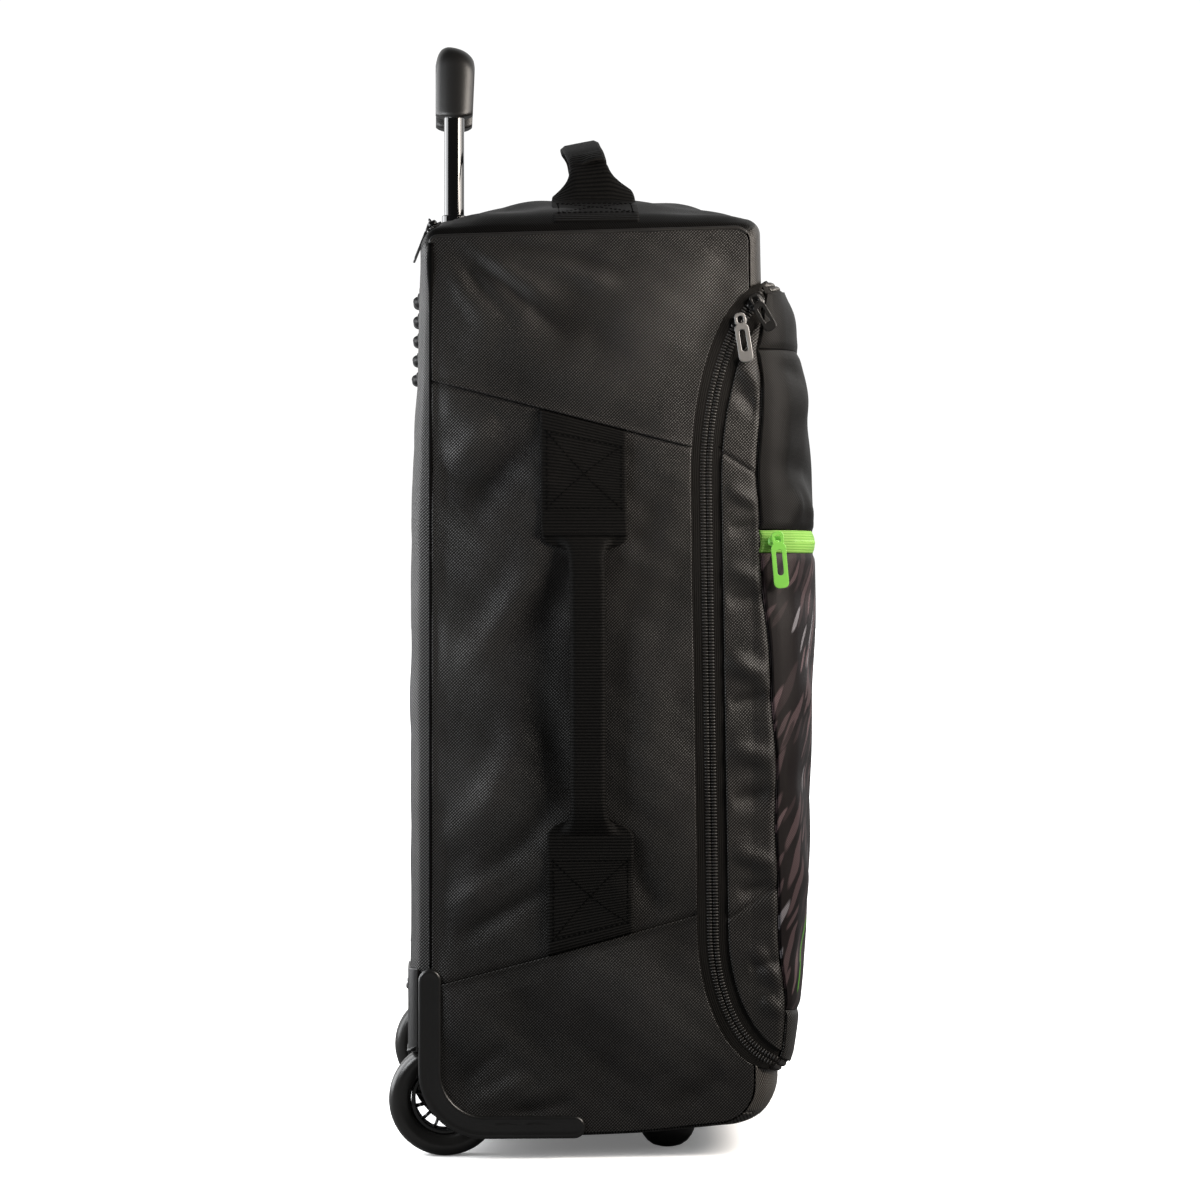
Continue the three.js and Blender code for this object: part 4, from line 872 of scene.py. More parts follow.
def side_outline(name, t):
    forward, z = wrap_edge(name, body_section(np.array(HALF_WIDTH - 0.01)), np.asarray(t, float))
    return np.stack([forward, z], axis=1)


def between(line, low, high):
    """The stretch of a line that rises from height low to height high."""
    heights = np.linspace(low, high, 80)
    return np.stack([np.interp(heights, line[:, 1], line[:, 0]), heights], axis=1)


def seam_line(seam, right):
    forward = np.linspace(SIDE_BACK, right, 60)
    return np.stack([forward, seam_z(seam, forward)], axis=1)


def seam_end(seam, line):
    """Where a seam runs into the zip."""
    forward = float(SEAM_FRONT)
    for _ in range(4):
        forward = np.interp(seam_z(seam, forward), line[:, 1], line[:, 0])
    return forward, seam_z(seam, forward)


def coons(bottom, top, left, right, rows, columns):
    """A grid between four edge curves: bottom and top run left to right, the others upwards."""
    bottom, top = resample(bottom, columns, PATCH_EASE), resample(top, columns, PATCH_EASE)
    left, right = resample(left, rows, PATCH_EASE), resample(right, rows, PATCH_EASE)
    u = eased(columns, PATCH_EASE)[None, :, None]
    v = eased(rows, PATCH_EASE)[:, None, None]
    across = lerp(left[:, None], right[:, None], u)
    upward = lerp(bottom[None], top[None], v)
    flat = lerp(lerp(bottom[0], bottom[-1], u), lerp(top[0], top[-1], u), v)
    return across + upward - flat


# %% Sew the side panels
half = np.linspace(0, 0.5, 12)
rest = np.linspace(0.5, 1, 12)
whole = np.linspace(0, 1, 60)
zip_edge = zip_line(0)
upper_end, lower_end = seam_end("upper", zip_edge), seam_end("lower", zip_edge)
front_line = side_outline("front", whole)
# Where the zip's two ends meet the front edge of the side.
FRONT_MEETS = {"top": 212.4, "low": 215.8}
front_top_z = np.interp(FRONT_MEETS["top"], zip_edge[-40:, 0], zip_edge[-40:, 1])
front_low_z = np.interp(-FRONT_MEETS["low"], -zip_edge[:40, 0], zip_edge[:40, 1])
back_line = side_outline("back", whole)[::-1]
seam_starts = {seam: seam_z(seam, SIDE_BACK) for seam in SEAMS}
SIDE_PANELS = {
    "upper": {
        "bottom": seam_line("upper", upper_end[0]),
        "top": np.concatenate([
            side_outline("top_back", half)[::-1], side_outline("top", whole)[::-1],
            side_outline("top_front", rest)[::-1]]),
        "left": np.concatenate([
            between(back_line, seam_starts["upper"], back_line[-1, 1]),
            side_outline("top_back", rest)[::-1]]),
        "right": np.concatenate([
            between(zip_edge, upper_end[1], front_top_z), between(front_line, front_top_z, front_line[-1, 1]),
            side_outline("top_front", half)]),
        "grid": (84, 100),
    },
    "middle": {
        "bottom": seam_line("lower", lower_end[0]),
        "top": seam_line("upper", upper_end[0]),
        "left": between(back_line, seam_starts["lower"], seam_starts["upper"]),
        "right": between(zip_edge, lower_end[1], upper_end[1]),
        "grid": (170, 84),
    },
    "lower": {
        "bottom": np.concatenate([
            side_outline("bottom_back", rest), side_outline("base", whole),
            side_outline("bottom_front", half)]),
        "top": seam_line("lower", lower_end[0]),
        "left": np.concatenate([
            side_outline("bottom_back", half)[::-1],
            between(back_line, back_line[0, 1], seam_starts["lower"])]),
        "right": np.concatenate([
            side_outline("bottom_front", rest), between(front_line, front_line[0, 1], front_low_z),
            between(zip_edge, front_low_z, lower_end[1])]),
        "grid": (84, 100),
    },
}
for part, patch in SIDE_PANELS.items():
    edges = [patch[edge] for edge in ("bottom", "top", "left", "right")]
    flat = coons(*edges, *patch["grid"])
    for name, side in SIDES.items():
        points = on_side(side, flat[..., 0], flat[..., 1], part=part)
        # Painted shade in the creases and painted highlight on the ridges, from this side's folds.
        rub = side_painted_fold_light(side, flat[..., 0], flat[..., 1])
        panel = cloth_panel(f"side_{part}_cloth_{name}", points, twill, flat=flat, rub=rub)
        hand_over(panel, "bag", "shell_fabric", f"side_{part}_{name}")
print("side panels sewn")

# %% [markdown]
# ## Wrap panels
# Base, back, top and the two front strips run right across the bag. Each is a grid
# of stretches along the section and stations across the width, closer together near
# the side seams, with ripples pushed out along the surface.

# %% Wrap panels
WRAP_EDGE_X = HALF_WIDTH - 0.5


def stations(count, edge=WRAP_EDGE_X):
    return edge * np.sin(np.linspace(-math.pi / 2, math.pi / 2, count))


def wrap_grid(stretches, x):
    section = body_section(x[None, :])
    rows = []
    for name, start, end, count in stretches:
        t = np.linspace(start, end, count)[:, None]
        forward, z = wrap_edge(name, section, t)
        rows.append(place(x[None, :], *np.broadcast_arrays(forward, z)))
    joined = [rows[0]] + [row[1:] for row in rows[1:]]
    return np.concatenate(joined)


def puff(points, height):
    return points + grid_normals(points) * (height * MM)[..., None]


def soft_grid(points, amount, size, seed, calm):
    """Ripples over a grid, dying away towards its edges. Its last rows lie calm for a given length."""
    v, u = np.meshgrid(lengths_along(points, 0) / MM, lengths_along(points, 1) / MM, indexing="ij")
    edge = np.minimum(np.minimum(u, u.max() - u), np.minimum(v, v.max() - calm - v))
    return puff(points, amount * ripple(u, v, size, seed) * np.clip(edge / 25, 0, 1))


WRAPS = [
    {"name": "back", "finish": twill, "ripple": 0.7, "calm": 0, "stretches": [
        ("back", 0, 1, 110), ("bottom_back", 0, 0.5, 12)]},
    {"name": "top", "finish": satin, "ripple": 1.6, "calm": 32, "stretches": [
        ("top_front", 0.5, 1, 8), ("top", 0, 1, 70), ("top_back", 0, 1, 14)]},
    {"name": "base", "finish": twill, "ripple": 0.6, "calm": 0, "stretches": [
        ("bottom_back", 0.5, 1, 12), ("base", 0, 1, 60), ("bottom_front", 0, 0.5, 8)]},
]
WELL_CUT = {"x": 127, "z": 92, "forward": 55}


def outside_wells(middles):
    """True where the wrap cloth is clear of the wheel wells, which the guards cover."""
    x = np.abs(middles[:, 0] / MM - MIDDLE_X)
    forward = AXLE_Y - middles[:, 1] / MM
    z = middles[:, 2] / MM
    return ~((x > WELL_CUT["x"]) & (z < WELL_CUT["z"]) & (forward < WELL_CUT["forward"]))


across_bag = stations(90)
for seed, row in enumerate(WRAPS):
    points = soft_grid(wrap_grid(row["stretches"], across_bag), row["ripple"], 75, 21 + seed, row["calm"])
    panel = cloth_panel(f"{row['name']}_cloth", points, row["finish"], keep=outside_wells)
    hand_over(panel, "bag", "shell_fabric", f"{row['name']}_panel")
print("wrap panels:", [row["name"] for row in WRAPS])

# %% Front strips above and below the lid
# How far the lid's front has swollen, and its arch has risen, at a distance from mid width.
LID_REACH = np.array([
    [0, 1, 1], [70, 0.95, 0.92], [132, 0.78, 0.6], [162, 0.5, 0.25], [172, 0.22, 0.08], [175, 0, 0],
])


def lid_reach(x):
    return mirrored_glide(LID_REACH[:, 0], LID_REACH[:, 1], x)


def lid_arch(x):
    return mirrored_glide(LID_REACH[:, 0], LID_REACH[:, 2], x)


def front_strip(corner, start, end, opening_z, x, count=14):
    """A strip of front panel from the zip opening to a rounded corner of the body."""
    section = body_section(x[None, :])
    low, high = front_edge(section, 0)[1], front_edge(section, 1)[1]
    cut = (opening_z[None, :] - low) / (high - low)
    t = np.linspace(0, 1, count)[:, None]
    flat = front_edge(section, lerp(cut, 1.0 if corner == "top_front" else 0.0, t))
    bend = corner_edge(corner, section, np.linspace(start, end, 8)[1:, None])
    rows = [place(x[None, :], *np.broadcast_arrays(*flat)), place(x[None, :], *np.broadcast_arrays(*bend))]
    return np.concatenate(rows)


# How far the strips run on under the zip tape.
STRIP_TUCK = 3
upper_z = OPENING["top"] + OPENING["top_rise"] * lid_arch(across_bag) - STRIP_TUCK
lower_z = OPENING["bottom"] - OPENING["bottom_drop"] * lid_arch(across_bag) + STRIP_TUCK
FRONT_STRIPS = {
    "upper": ("top_front", 0, upper_z, pale_satin), "lower": ("bottom_front", 1, lower_z, floor_satin),
}
for name, (corner, start, opening_z, finish) in FRONT_STRIPS.items():
    strip = cloth_panel(f"front_{name}_cloth", front_strip(corner, start, 0.5, opening_z, across_bag), finish)
    hand_over(strip, "bag", "shell_fabric", f"front_panel_{name}")
print("front strips sewn")

# %% [markdown]
# ## Piping
# A thin cord wrapped in cloth is caught in the seam up the back edge and over the
# top. It is a small tube swept along the seam: a run over the top in the body's cloth, and
# a near-black run up the back, the real cord with its shadow line painted in as shade.

# %% Piping
PIPING = {"stand": 0.6, "outset": 0.9, "bottom": 136, "sides": 12}
# The run up the back is near-black, painted shade for the cord's shadow line, and wider where the corner
# gathers. The one over the top is in the body's twill.
PIPING_RUNS = {
    "back": {"radius": 1.2, "gather": 1.3, "finish": black_thread},
    "top": {"radius": 1.5, "gather": 0.0, "finish": twill},
}
# Middle and width of that gather.
GATHER_Z = (627, 15)


def sweep(path, up, section):
    """Rings of a section (across, up) along a path of points, with up given at each point."""
    path, up = np.asarray(path, float), np.asarray(up, float)
    ahead = unit(np.gradient(path, axis=0))
    side = unit(np.cross(ahead, up))
    lift = np.cross(side, ahead)
    across, out = (np.asarray(section, float) * MM).T
    return [p + np.outer(across, s) + np.outer(out, w) for p, s, w in zip(path, side, lift)]


def ring_of(radius, sides, flatten=1.0):
    angle = np.linspace(0, 2 * math.pi, sides, endpoint=False)
    return np.stack([radius * np.cos(angle), flatten * radius * np.sin(angle)], axis=1)


seam_runs = {
    "back": between(back_line, PIPING["bottom"], back_line[-1, 1]),
    "top": np.concatenate([
        side_outline("top_back", whole)[::-1], side_outline("top", whole)[::-1],
        side_outline("top_front", np.linspace(0.4, 1, 10))[::-1]]),
}
for run, row in PIPING_RUNS.items():
    seam_run = resample(seam_runs[run], 140)
    turned = unit(np.gradient(seam_run, axis=0))
    seam_run = seam_run + PIPING["outset"] * np.stack([-turned[:, 1], turned[:, 0]], axis=1)
    swollen = 1 + row["gather"] * bell(seam_run[:, 1] - GATHER_Z[0], GATHER_Z[1])
    for name, side in SIDES.items():
        wobble = 0.25 * ripple(np.arange(140.0), 0.0, 24, 5 + side)
        path = place(side * (HALF_WIDTH + PIPING["stand"] + wobble), *seam_run.T)
        up = np.tile([side, 0, 0], (len(path), 1))
        rings = sweep(path, up, ring_of(row["radius"], PIPING["sides"]))
        rings = [lerp(centre, ring, scale) for centre, ring, scale in zip(path, rings, swollen)]
        cord = solid_stack(f"piping_{run}_{name}", rings, row["finish"])
        hand_over(cord, "bag", "shell_fabric", *([f"piping_{name}"] if run == "top" else []))
print("piping runs:", list(PIPING_RUNS))

# %% [markdown]
# ## The lid
# The lid is a shallow tray: a gusset on each side, and a front that swells from the
# side seams to the middle. The front is one smooth surface from a table of heights,
# cut into a rounded top band, an upper panel, the lime pocket zip, the printed
# pocket and a lower panel, with a groove at each seam.

# %% Front of the lid
LID_SEAMS = {"band": 568, "zip_top": 441, "zip_low": 425, "pocket_low": 104}
# Name, upper and lower seam, rows of points, finish, record slot and replaced nodes of each panel.
LID_PANELS = [
    ("lid_band", None, "band", 26, satin, "satin_fabric", []),
    ("lid_upper", "band", "zip_top", 60, satin, "satin_fabric", ["lid_upper_panel"]),
    ("pocket_zip_tape", "zip_top", "zip_low", 12, lime_tape, "lime_zip", ["pocket_zip"]),
    ("pocket_cloth", "zip_low", "pocket_low", 130, pocket_print, "printed_fabric", ["pocket_panel"]),
    ("lid_lower", "pocket_low", None, 30, twill, "shell_fabric", ["lid_lower_panel"]),
]
# Heights on the lid front, at the side and at mid width, against the forward values there.
LID_FRONT = LID_ROWS[1:-1]


def lid_front(x, height):
    """Forward and z of the lid front. Height is the z at the side seam, so lines follow the arch."""
    rows = LID_FRONT[::-1]
    seam = glide(rows[:, 0], rows[:, 2], height)
    crest = glide(rows[:, 0], rows[:, 3], height)
    drop = glide(rows[:, 0], rows[:, 1] - rows[:, 0], height)
    seam = seam + seam_sway(height) * np.clip(np.abs(x) / HALF_WIDTH, 0, 1) ** 8
    return lerp(seam, crest, lid_reach(x)), height + drop * lid_arch(x)


# Folds of the lid front as distance from mid width and height at both ends, width and rise.
LID_FOLDS = [
    (176, 487, 96, 476, 11, -4.2), (172, 528, 110, 536, 14, 3.2), (174, 462, 120, 452, 9, 2.6),
    (170, 446, 164, 474, 4, -1.4), (160, 446, 156, 470, 4, 1.3), (150, 446, 148, 472, 5, -1.2),
    (174, 556, 130, 548, 7, -2.2), (174, 390, 120, 400, 12, -2.4), (172, 330, 116, 318, 15, 2.6),
    (174, 262, 110, 274, 13, -2.4), (172, 200, 120, 190, 14, 2.2), (174, 140, 124, 150, 10, -2.0),
    (60, 520, 120, 470, 22, 2.0), (20, 380, 80, 300, 26, -2.2), (90, 250, 30, 190, 24, 2.0),
]


# Depth and width of the groove at each seam.
LID_GROOVE = (1.6, 3.2)
# Rise, height and width of the soft rolls above and below the band's seam.
LID_ROLLS = ((2.4, 590, 12), (1.5, 548, 14))


def lid_relief(x, height):
    edge = np.clip((HALF_WIDTH - np.abs(x)) / 30, 0, 1)
    soft = 0.8 * ripple(x, height, 80, 31) * edge
    soft += fold_relief(np.abs(x), height, LID_FOLDS)
    depth, width = LID_GROOVE
    groove = sum(-depth * bell(height - seam, width) for seam in LID_SEAMS.values())
    band = sum(rise * bell(height - middle, wide) for rise, middle, wide in LID_ROLLS)
    return soft + groove + band * edge


def on_lid(x, height, lift=0.0):
    x, height = np.broadcast_arrays(np.asarray(x, float), np.asarray(height, float))
    forward, z = lid_front(x, height)
    return place(x, forward + lid_relief(x, height) + lift, z)


across_lid = stations(110, HALF_WIDTH + 0.4)
lid_high, lid_low = LID_FRONT[0, 0], LID_FRONT[-1, 0]
for name, above, below, count, finish, slot, nodes in LID_PANELS:
    high = LID_SEAMS[above] - 0.4 if above else lid_high
    low = LID_SEAMS[below] + 0.4 if below else lid_low
    heights = lerp(low, high, eased(count, 0.5))[:, None]
    panel = cloth_panel(name, on_lid(across_lid[None, :], heights), finish)
    hand_over(panel, "bag", slot, *nodes)
print("lid front:", [row[0] for row in LID_PANELS])

# %% [markdown]
# The gussets lie between the zip tape and the lid front. Their upper and lower
# pieces are sewn on a slant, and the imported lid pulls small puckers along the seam.

# %% Gussets of the lid
GUSSET_SEAMS = [((192, 496), (221, 478)), ((200, 170), (236, 192))]
GUSSET_GROOVE = {"depth": 1.6, "width": 1.6}
GUSSET_FOLDS = [
    (196, 470, 222, 458, 5, 1.3), (198, 440, 222, 446, 5, -1.2), (196, 415, 224, 404, 6, 1.2),
    (197, 390, 226, 396, 6, -1.2), (197, 350, 226, 338, 7, 1.8), (198, 318, 230, 326, 6, -1.7),
    (198, 288, 230, 280, 7, 1.6), (200, 250, 232, 258, 7, -1.7), (200, 215, 234, 206, 6, 1.4),
    (204, 186, 234, 192, 6, -1.3), (214, 150, 236, 120, 6, 1.6),
    (212, 134, 238, 138, 5, -1.5), (222, 112, 238, 100, 5, 1.2), (205, 560, 220, 540, 6, 1.4),
    (204, 540, 220, 520, 6, -1.2),
]


def gusset_relief(side, forward, z):
    forward, z = np.broadcast_arrays(np.asarray(forward, float), np.asarray(z, float))
    soft = 2.2 * fold_relief(forward, z, GUSSET_FOLDS) + 0.3 * ripple(forward, z, 26, 41 + side)
    for (f0, z0), (f1, z1) in GUSSET_SEAMS:
        off = z - (z0 + (forward - f0) * (z1 - z0) / (f1 - f0))
        soft -= GUSSET_GROOVE["depth"] * bell(off, GUSSET_GROOVE["width"])
    edge = np.clip((lid_seam(z) - forward) / 5, 0, 1)
    return side_swell(forward, z) + 0.4 + soft * (0.25 + 0.75 * edge) - 3.0 * (1 - edge) ** 2


def on_gusset(side, forward, z, lift=0.0):
    return place(side * (HALF_WIDTH + gusset_relief(side, forward, z) + lift), forward, z)


gusset_rows = 330
inner_edge = resample(zip_line(TAPE_WIDTH), gusset_rows)
seam_heights = np.linspace(inner_edge[0, 1], inner_edge[-1, 1], gusset_rows)
outer_edge = np.stack([lid_seam(seam_heights) - 0.3, seam_heights], axis=1)
t = np.linspace(0, 1, 26)[None, :, None]
flat = lerp(inner_edge[:, None], outer_edge[:, None], t)
for name, side in SIDES.items():
    points = on_gusset(side, flat[..., 0], flat[..., 1])
    gusset = cloth_panel(f"lid_gusset_cloth_{name}", points, twill, flat=flat)
    hand_over(gusset, "bag", "shell_fabric", f"lid_gusset_{name}")
print("gussets sewn")

# %% [markdown]
# ## Main zip
# The zip runs up one side, over the lid, down the other side and back under it.
# The tape is a ribbed ribbon a little below the cloth. One closed path with an
# outward direction at each point then carries the coil, in two rows of teeth.

# %% Zip tape
RIM_TOP = (LID_ROWS[0], LID_ROWS[1])
RIM_BOTTOM = (LID_ROWS[-1], LID_ROWS[-2])
TAPE_SINK = 0.8


def rim_point(rim, x, share):
    """Forward and z on the sloping rim of the lid, from the body (0) to the lid front (1)."""
    forward = [lerp(row[2], row[3], lid_reach(x)) for row in rim]
    z = [lerp(row[0], row[1], lid_arch(x)) for row in rim]
    return lerp(forward[0], forward[1], share), lerp(z[0], z[1], share)


def lay_tape(name, points):
    tape = cloth_panel(f"zip_tape_cloth_{name}", points, zip_tape, 1)
    hand_over(tape, "bag", "zip_tape", f"zip_tape_{name}")


shifts = np.linspace(-1.5, TAPE_WIDTH + 1.5, 14)
runs = np.stack([resample(zip_line(max(shift, 0.0)) + [min(shift, 0.0), 0], 220) for shift in shifts], axis=1)
for name, side in SIDES.items():
    forward, z = runs[..., 0], runs[..., 1]
    lay_tape(name, place(side * (HALF_WIDTH + (side_swell(forward, z) - TAPE_SINK)), forward, z))
rim_x = stations(110, HALF_WIDTH - 0.5)
for name, rim in {"top": RIM_TOP, "bottom": RIM_BOTTOM}.items():
    shares = np.linspace(-0.08, 1.02, 9)[None, :]
    forward, z = rim_point(rim, rim_x[:, None], shares)
    sink = TAPE_SINK * (1 if name == "bottom" else -1)
    lay_tape(name, place(rim_x[:, None], forward, z + sink))
print("zip tape laid")

# %% [markdown]
# ## One Geometry Nodes tree for everything that repeats along a line
# Stitches, zip teeth, bumper ribs and hub spokes are all one small shape set out
# along a line at a steady pitch. The tree turns a line of edges into a curve, spaces
# points along it, stands a shape on each one with its length along or across the
# line, and can stagger every second one sideways.

# %% The repeat tree
REPEAT_INPUTS = ("Pitch", "Length", "Width", "Height", "Stagger", "Turn")


def repeat_tree(name, shape):
    tree = bpy.data.node_groups.new(name, "GeometryNodeTree")
    tree.interface.new_socket(name="Geometry", in_out="INPUT", socket_type="NodeSocketGeometry")
    for title in REPEAT_INPUTS:
        tree.interface.new_socket(name=title, in_out="INPUT", socket_type="NodeSocketFloat")
    tree.interface.new_socket(name="Finish", in_out="INPUT", socket_type="NodeSocketMaterial")
    tree.interface.new_socket(name="Geometry", in_out="OUTPUT", socket_type="NodeSocketGeometry")
    given = tree.nodes.new("NodeGroupInput").outputs
    curve = add_node(tree, "GeometryNodeMeshToCurve", {"Mesh": given["Geometry"]})
    spaced = add_node(
        tree, "GeometryNodeResampleCurve",
        {"Curve": curve.outputs["Curve"], "Length": given["Pitch"]}, mode="LENGTH")
    stored = add_node(tree, "GeometryNodeInputNamedAttribute", {"Name": "up"}, data_type="FLOAT_VECTOR")
    up = stored.outputs[0]
    ahead = add_node(tree, "GeometryNodeInputTangent", {}).outputs[0]
    facing = add_node(
        tree, "FunctionNodeAxesToRotation", {0: up, 1: ahead}, primary_axis="Z", secondary_axis="X")
    size = add_node(
        tree, "ShaderNodeCombineXYZ", {0: given["Length"], 1: given["Width"], 2: given["Height"]}).outputs[0]
    turn = add_node(tree, "ShaderNodeCombineXYZ", {2: given["Turn"]}).outputs[0]
    sized = add_node(tree, "GeometryNodeTransform", {"Geometry": shape(tree), "Scale": size}).outputs[0]
    turned = add_node(tree, "GeometryNodeTransform", {"Geometry": sized, "Rotation": turn}).outputs[0]
    odd = maths(tree, "MODULO", add_node(tree, "GeometryNodeInputIndex", {}).outputs[0], 2.0)
    shift = maths(tree, "MULTIPLY", map_range(tree, odd, 0.0, 1.0, -1.0, 1.0), given["Stagger"])
    across = add_node(tree, "ShaderNodeVectorMath", {0: up, 1: ahead}, operation="CROSS_PRODUCT").outputs[0]
    offset = add_node(tree, "ShaderNodeVectorMath", {0: across, "Scale": shift}, operation="SCALE").outputs[0]
    copies = add_node(
        tree, "GeometryNodeInstanceOnPoints",
        {"Points": spaced.outputs["Curve"], "Instance": turned, "Rotation": facing.outputs[0]})
    moved = add_node(
        tree, "GeometryNodeTranslateInstances",
        {"Instances": copies.outputs[0], "Translation": offset, "Local Space": False})
    real = add_node(tree, "GeometryNodeRealizeInstances", {"Geometry": moved.outputs[0]}).outputs[0]
    smooth = add_node(tree, "GeometryNodeSetShadeSmooth", {"Geometry": real}).outputs[0]
    painted = add_node(tree, "GeometryNodeSetMaterial", {"Geometry": smooth, "Material": given["Finish"]})
    tree.links.new(painted.outputs[0], tree.nodes.new("NodeGroupOutput").inputs["Geometry"])
    return tree


def bead_shape(tree):
    ball = add_node(tree, "GeometryNodeMeshUVSphere", {"Segments": 7, "Rings": 4, "Radius": 0.5})
    return ball.outputs["Mesh"]


def rod_shape(tree):
    rod = add_node(tree, "GeometryNodeMeshCylinder", {"Vertices": 16, "Radius": 0.5, "Depth": 1.0})
    laid = {"Geometry": rod.outputs["Mesh"], "Rotation": (0, math.pi / 2, 0)}
    return add_node(tree, "GeometryNodeTransform", laid).outputs[0]


beads = repeat_tree("beads_along_lines", bead_shape)
rods = repeat_tree("rods_along_lines", rod_shape)
print("trees:", beads.name, rods.name)

# %% Laying copies along lines


def lay_along(name, lines, tree, finish, closed=False, **sizes):
    """Runs a repeat tree on lines of (points, up directions) and returns one plain mesh piece."""
    points, ups, edges = [], [], []
    for line, up in lines:
        start = len(points)
        points += [tuple(p) for p in line]
        ups += [tuple(u) for u in np.broadcast_to(up, np.shape(line))]
        edges += [(start + i, start + i + 1) for i in range(len(line) - 1)]
        if closed:
            edges.append((start + len(line) - 1, start))
    mesh = bpy.data.meshes.new(name + "_lines")
    mesh.from_pydata(points, edges, [])
    mesh.attributes.new("up", "FLOAT_VECTOR", "POINT").data.foreach_set("vector", np.array(ups).ravel())
    guide = into_scene(name + "_lines", mesh)
    modifier = guide.modifiers.new("repeat", "NODES")
    modifier.node_group = tree
    sockets = {item.name: item.identifier for item in tree.interface.items_tree if item.in_out == "INPUT"}
    for title in REPEAT_INPUTS:
        value = float(sizes.get(title.lower(), 0.0))
        modifier[sockets[title]] = value if title == "Turn" else value * MM
    modifier[sockets["Finish"]] = finish
    bpy.context.view_layer.update()
    result = guide.evaluated_get(bpy.context.evaluated_depsgraph_get())
    made = bpy.data.meshes.new_from_object(result)
    made.name = name
    made.materials.clear()
    made.materials.append(finish)
    made.polygons.foreach_set("material_index", [0] * len(made.polygons))
    bpy.data.objects.remove(guide)
    print(name, len(made.polygons), "faces")
    return into_scene(name, made)


# %% Main zip coil
COIL = {"pitch": 2.2, "length": 4.5, "width": 1.3, "height": 2.4}
COIL_SPREAD = 2.2
ACROSS = math.pi / 2


def coil_side(side):
    """The coil's path up one side, with its outward direction."""
    line = resample(zip_line(TAPE_WIDTH / 2), 200)
    forward, z = line[:, 0], line[:, 1]
    points = place(side * (HALF_WIDTH + side_swell(forward, z) + 0.5), forward, z)
    return points, np.tile([float(side), 0, 0], (len(points), 1))


def coil_rim(rim, up_z):
    """The coil's path over or under the lid. Its outward direction rises or falls with up_z."""
    x = stations(90, HALF_WIDTH - 3)
    forward, z = rim_point(rim, x, 0.5)
    inner, outer = rim_point(rim, x, 0.0), rim_point(rim, x, 1.0)
    up = unit(np.stack([0 * x, (outer[1] - inner[1]) * up_z, (outer[0] - inner[0]) * up_z], axis=1))
    return place(x, forward, z) + up * 0.6 * MM, up


def smooth_loop(values, width):
    kernel = np.hanning(width)
    kernel /= kernel.sum()
    wrapped = np.concatenate([values[-width:], values, values[:width]])
    columns = [np.convolve(column, kernel, "same")[width:-width] for column in wrapped.T]
    return np.stack(columns, axis=1)


near_run, far_run = coil_side(-1), coil_side(1)
top_run, bottom_run = coil_rim(RIM_TOP, 1), coil_rim(RIM_BOTTOM, -1)
coil_path = np.concatenate([near_run[0], top_run[0], far_run[0][::-1], bottom_run[0][::-1]])
coil_up = np.concatenate([near_run[1], top_run[1], far_run[1][::-1], bottom_run[1][::-1]])
coil_path = smooth_loop(coil_path, 7)
coil_up = unit(smooth_loop(coil_up, 15))
coil_across = np.cross(coil_up, np.gradient(coil_path, axis=0))
coil_across *= COIL_SPREAD * MM / np.linalg.norm(coil_across, axis=1, keepdims=True)
coil_rows = [(coil_path + coil_across, coil_up), (coil_path - coil_across, coil_up)]
coil = lay_along("zip_coil", coil_rows, beads, zip_coil, closed=True, turn=ACROSS, **COIL)
hand_over(coil, "bag", "zip_tape", "zip_chain")

# %% Pocket zip coil
POCKET_COIL = {"pitch": 1.6, "length": 4.4, "width": 1.4, "height": 1.8, "stagger": 1.2}
POCKET_COIL_Z = 433
pocket_x = stations(120, HALF_WIDTH - 2)
pocket_path = on_lid(pocket_x, POCKET_COIL_Z, 1.0)
pocket_up = unit(np.cross(np.gradient(pocket_path, axis=0), [0, 0, 1.0]))
pocket_coil = lay_along(
    "pocket_zip_coil", [(pocket_path, pocket_up)], beads, lime_coil, turn=ACROSS, **POCKET_COIL)
hand_over(pocket_coil, "bag", "lime_zip")

# %% [markdown]
# ## Webbing handles
# A handle is one ribbon of wide webbing. It lies flat where it is sewn down, and in
# the hand its two wings are folded back behind the middle. The section is therefore
# a strip whose wings turn by an angle, from none on the patch to a half turn in the
# grip, and that turning makes the little ears where the fold begins.

# %% Folded webbing
STRAP = {"width": 60, "core": 25, "bend": 5, "thick": 1.9, "half_count": 16, "full_turn": 0.97}


def strap_section(turn, floor_level):
    """A closed ring (across, out) of the strap, with wings turned back by turn (0 to 1)."""
    s = np.linspace(0, STRAP["width"] / 2, STRAP["half_count"])
    fine = np.linspace(0, STRAP["width"] / 2, 200)
    wing = np.clip((fine - STRAP["core"] / 2 + STRAP["bend"] / 2) / STRAP["bend"], 0, 1)
    bend = wing * turn * math.pi * STRAP["full_turn"]
    step = fine[1] - fine[0]
    across = np.concatenate([[0], np.cumsum(np.cos(bend[:-1]) * step)])
    out = np.concatenate([[0], np.cumsum(-np.sin(bend[:-1]) * step)])
    across, out, bend = (np.interp(s, fine, line) for line in (across, out, bend))
    out = np.maximum(out, floor_level)
    middle = np.concatenate([np.stack([-across, out], axis=1)[:0:-1], np.stack([across, out], axis=1)])
    tilt = np.concatenate([-bend[:0:-1], bend])
    normal = np.stack([np.sin(tilt), np.cos(tilt)], axis=1) * STRAP["thick"] / 2
    return np.concatenate([middle + normal, (middle - normal)[::-1]])


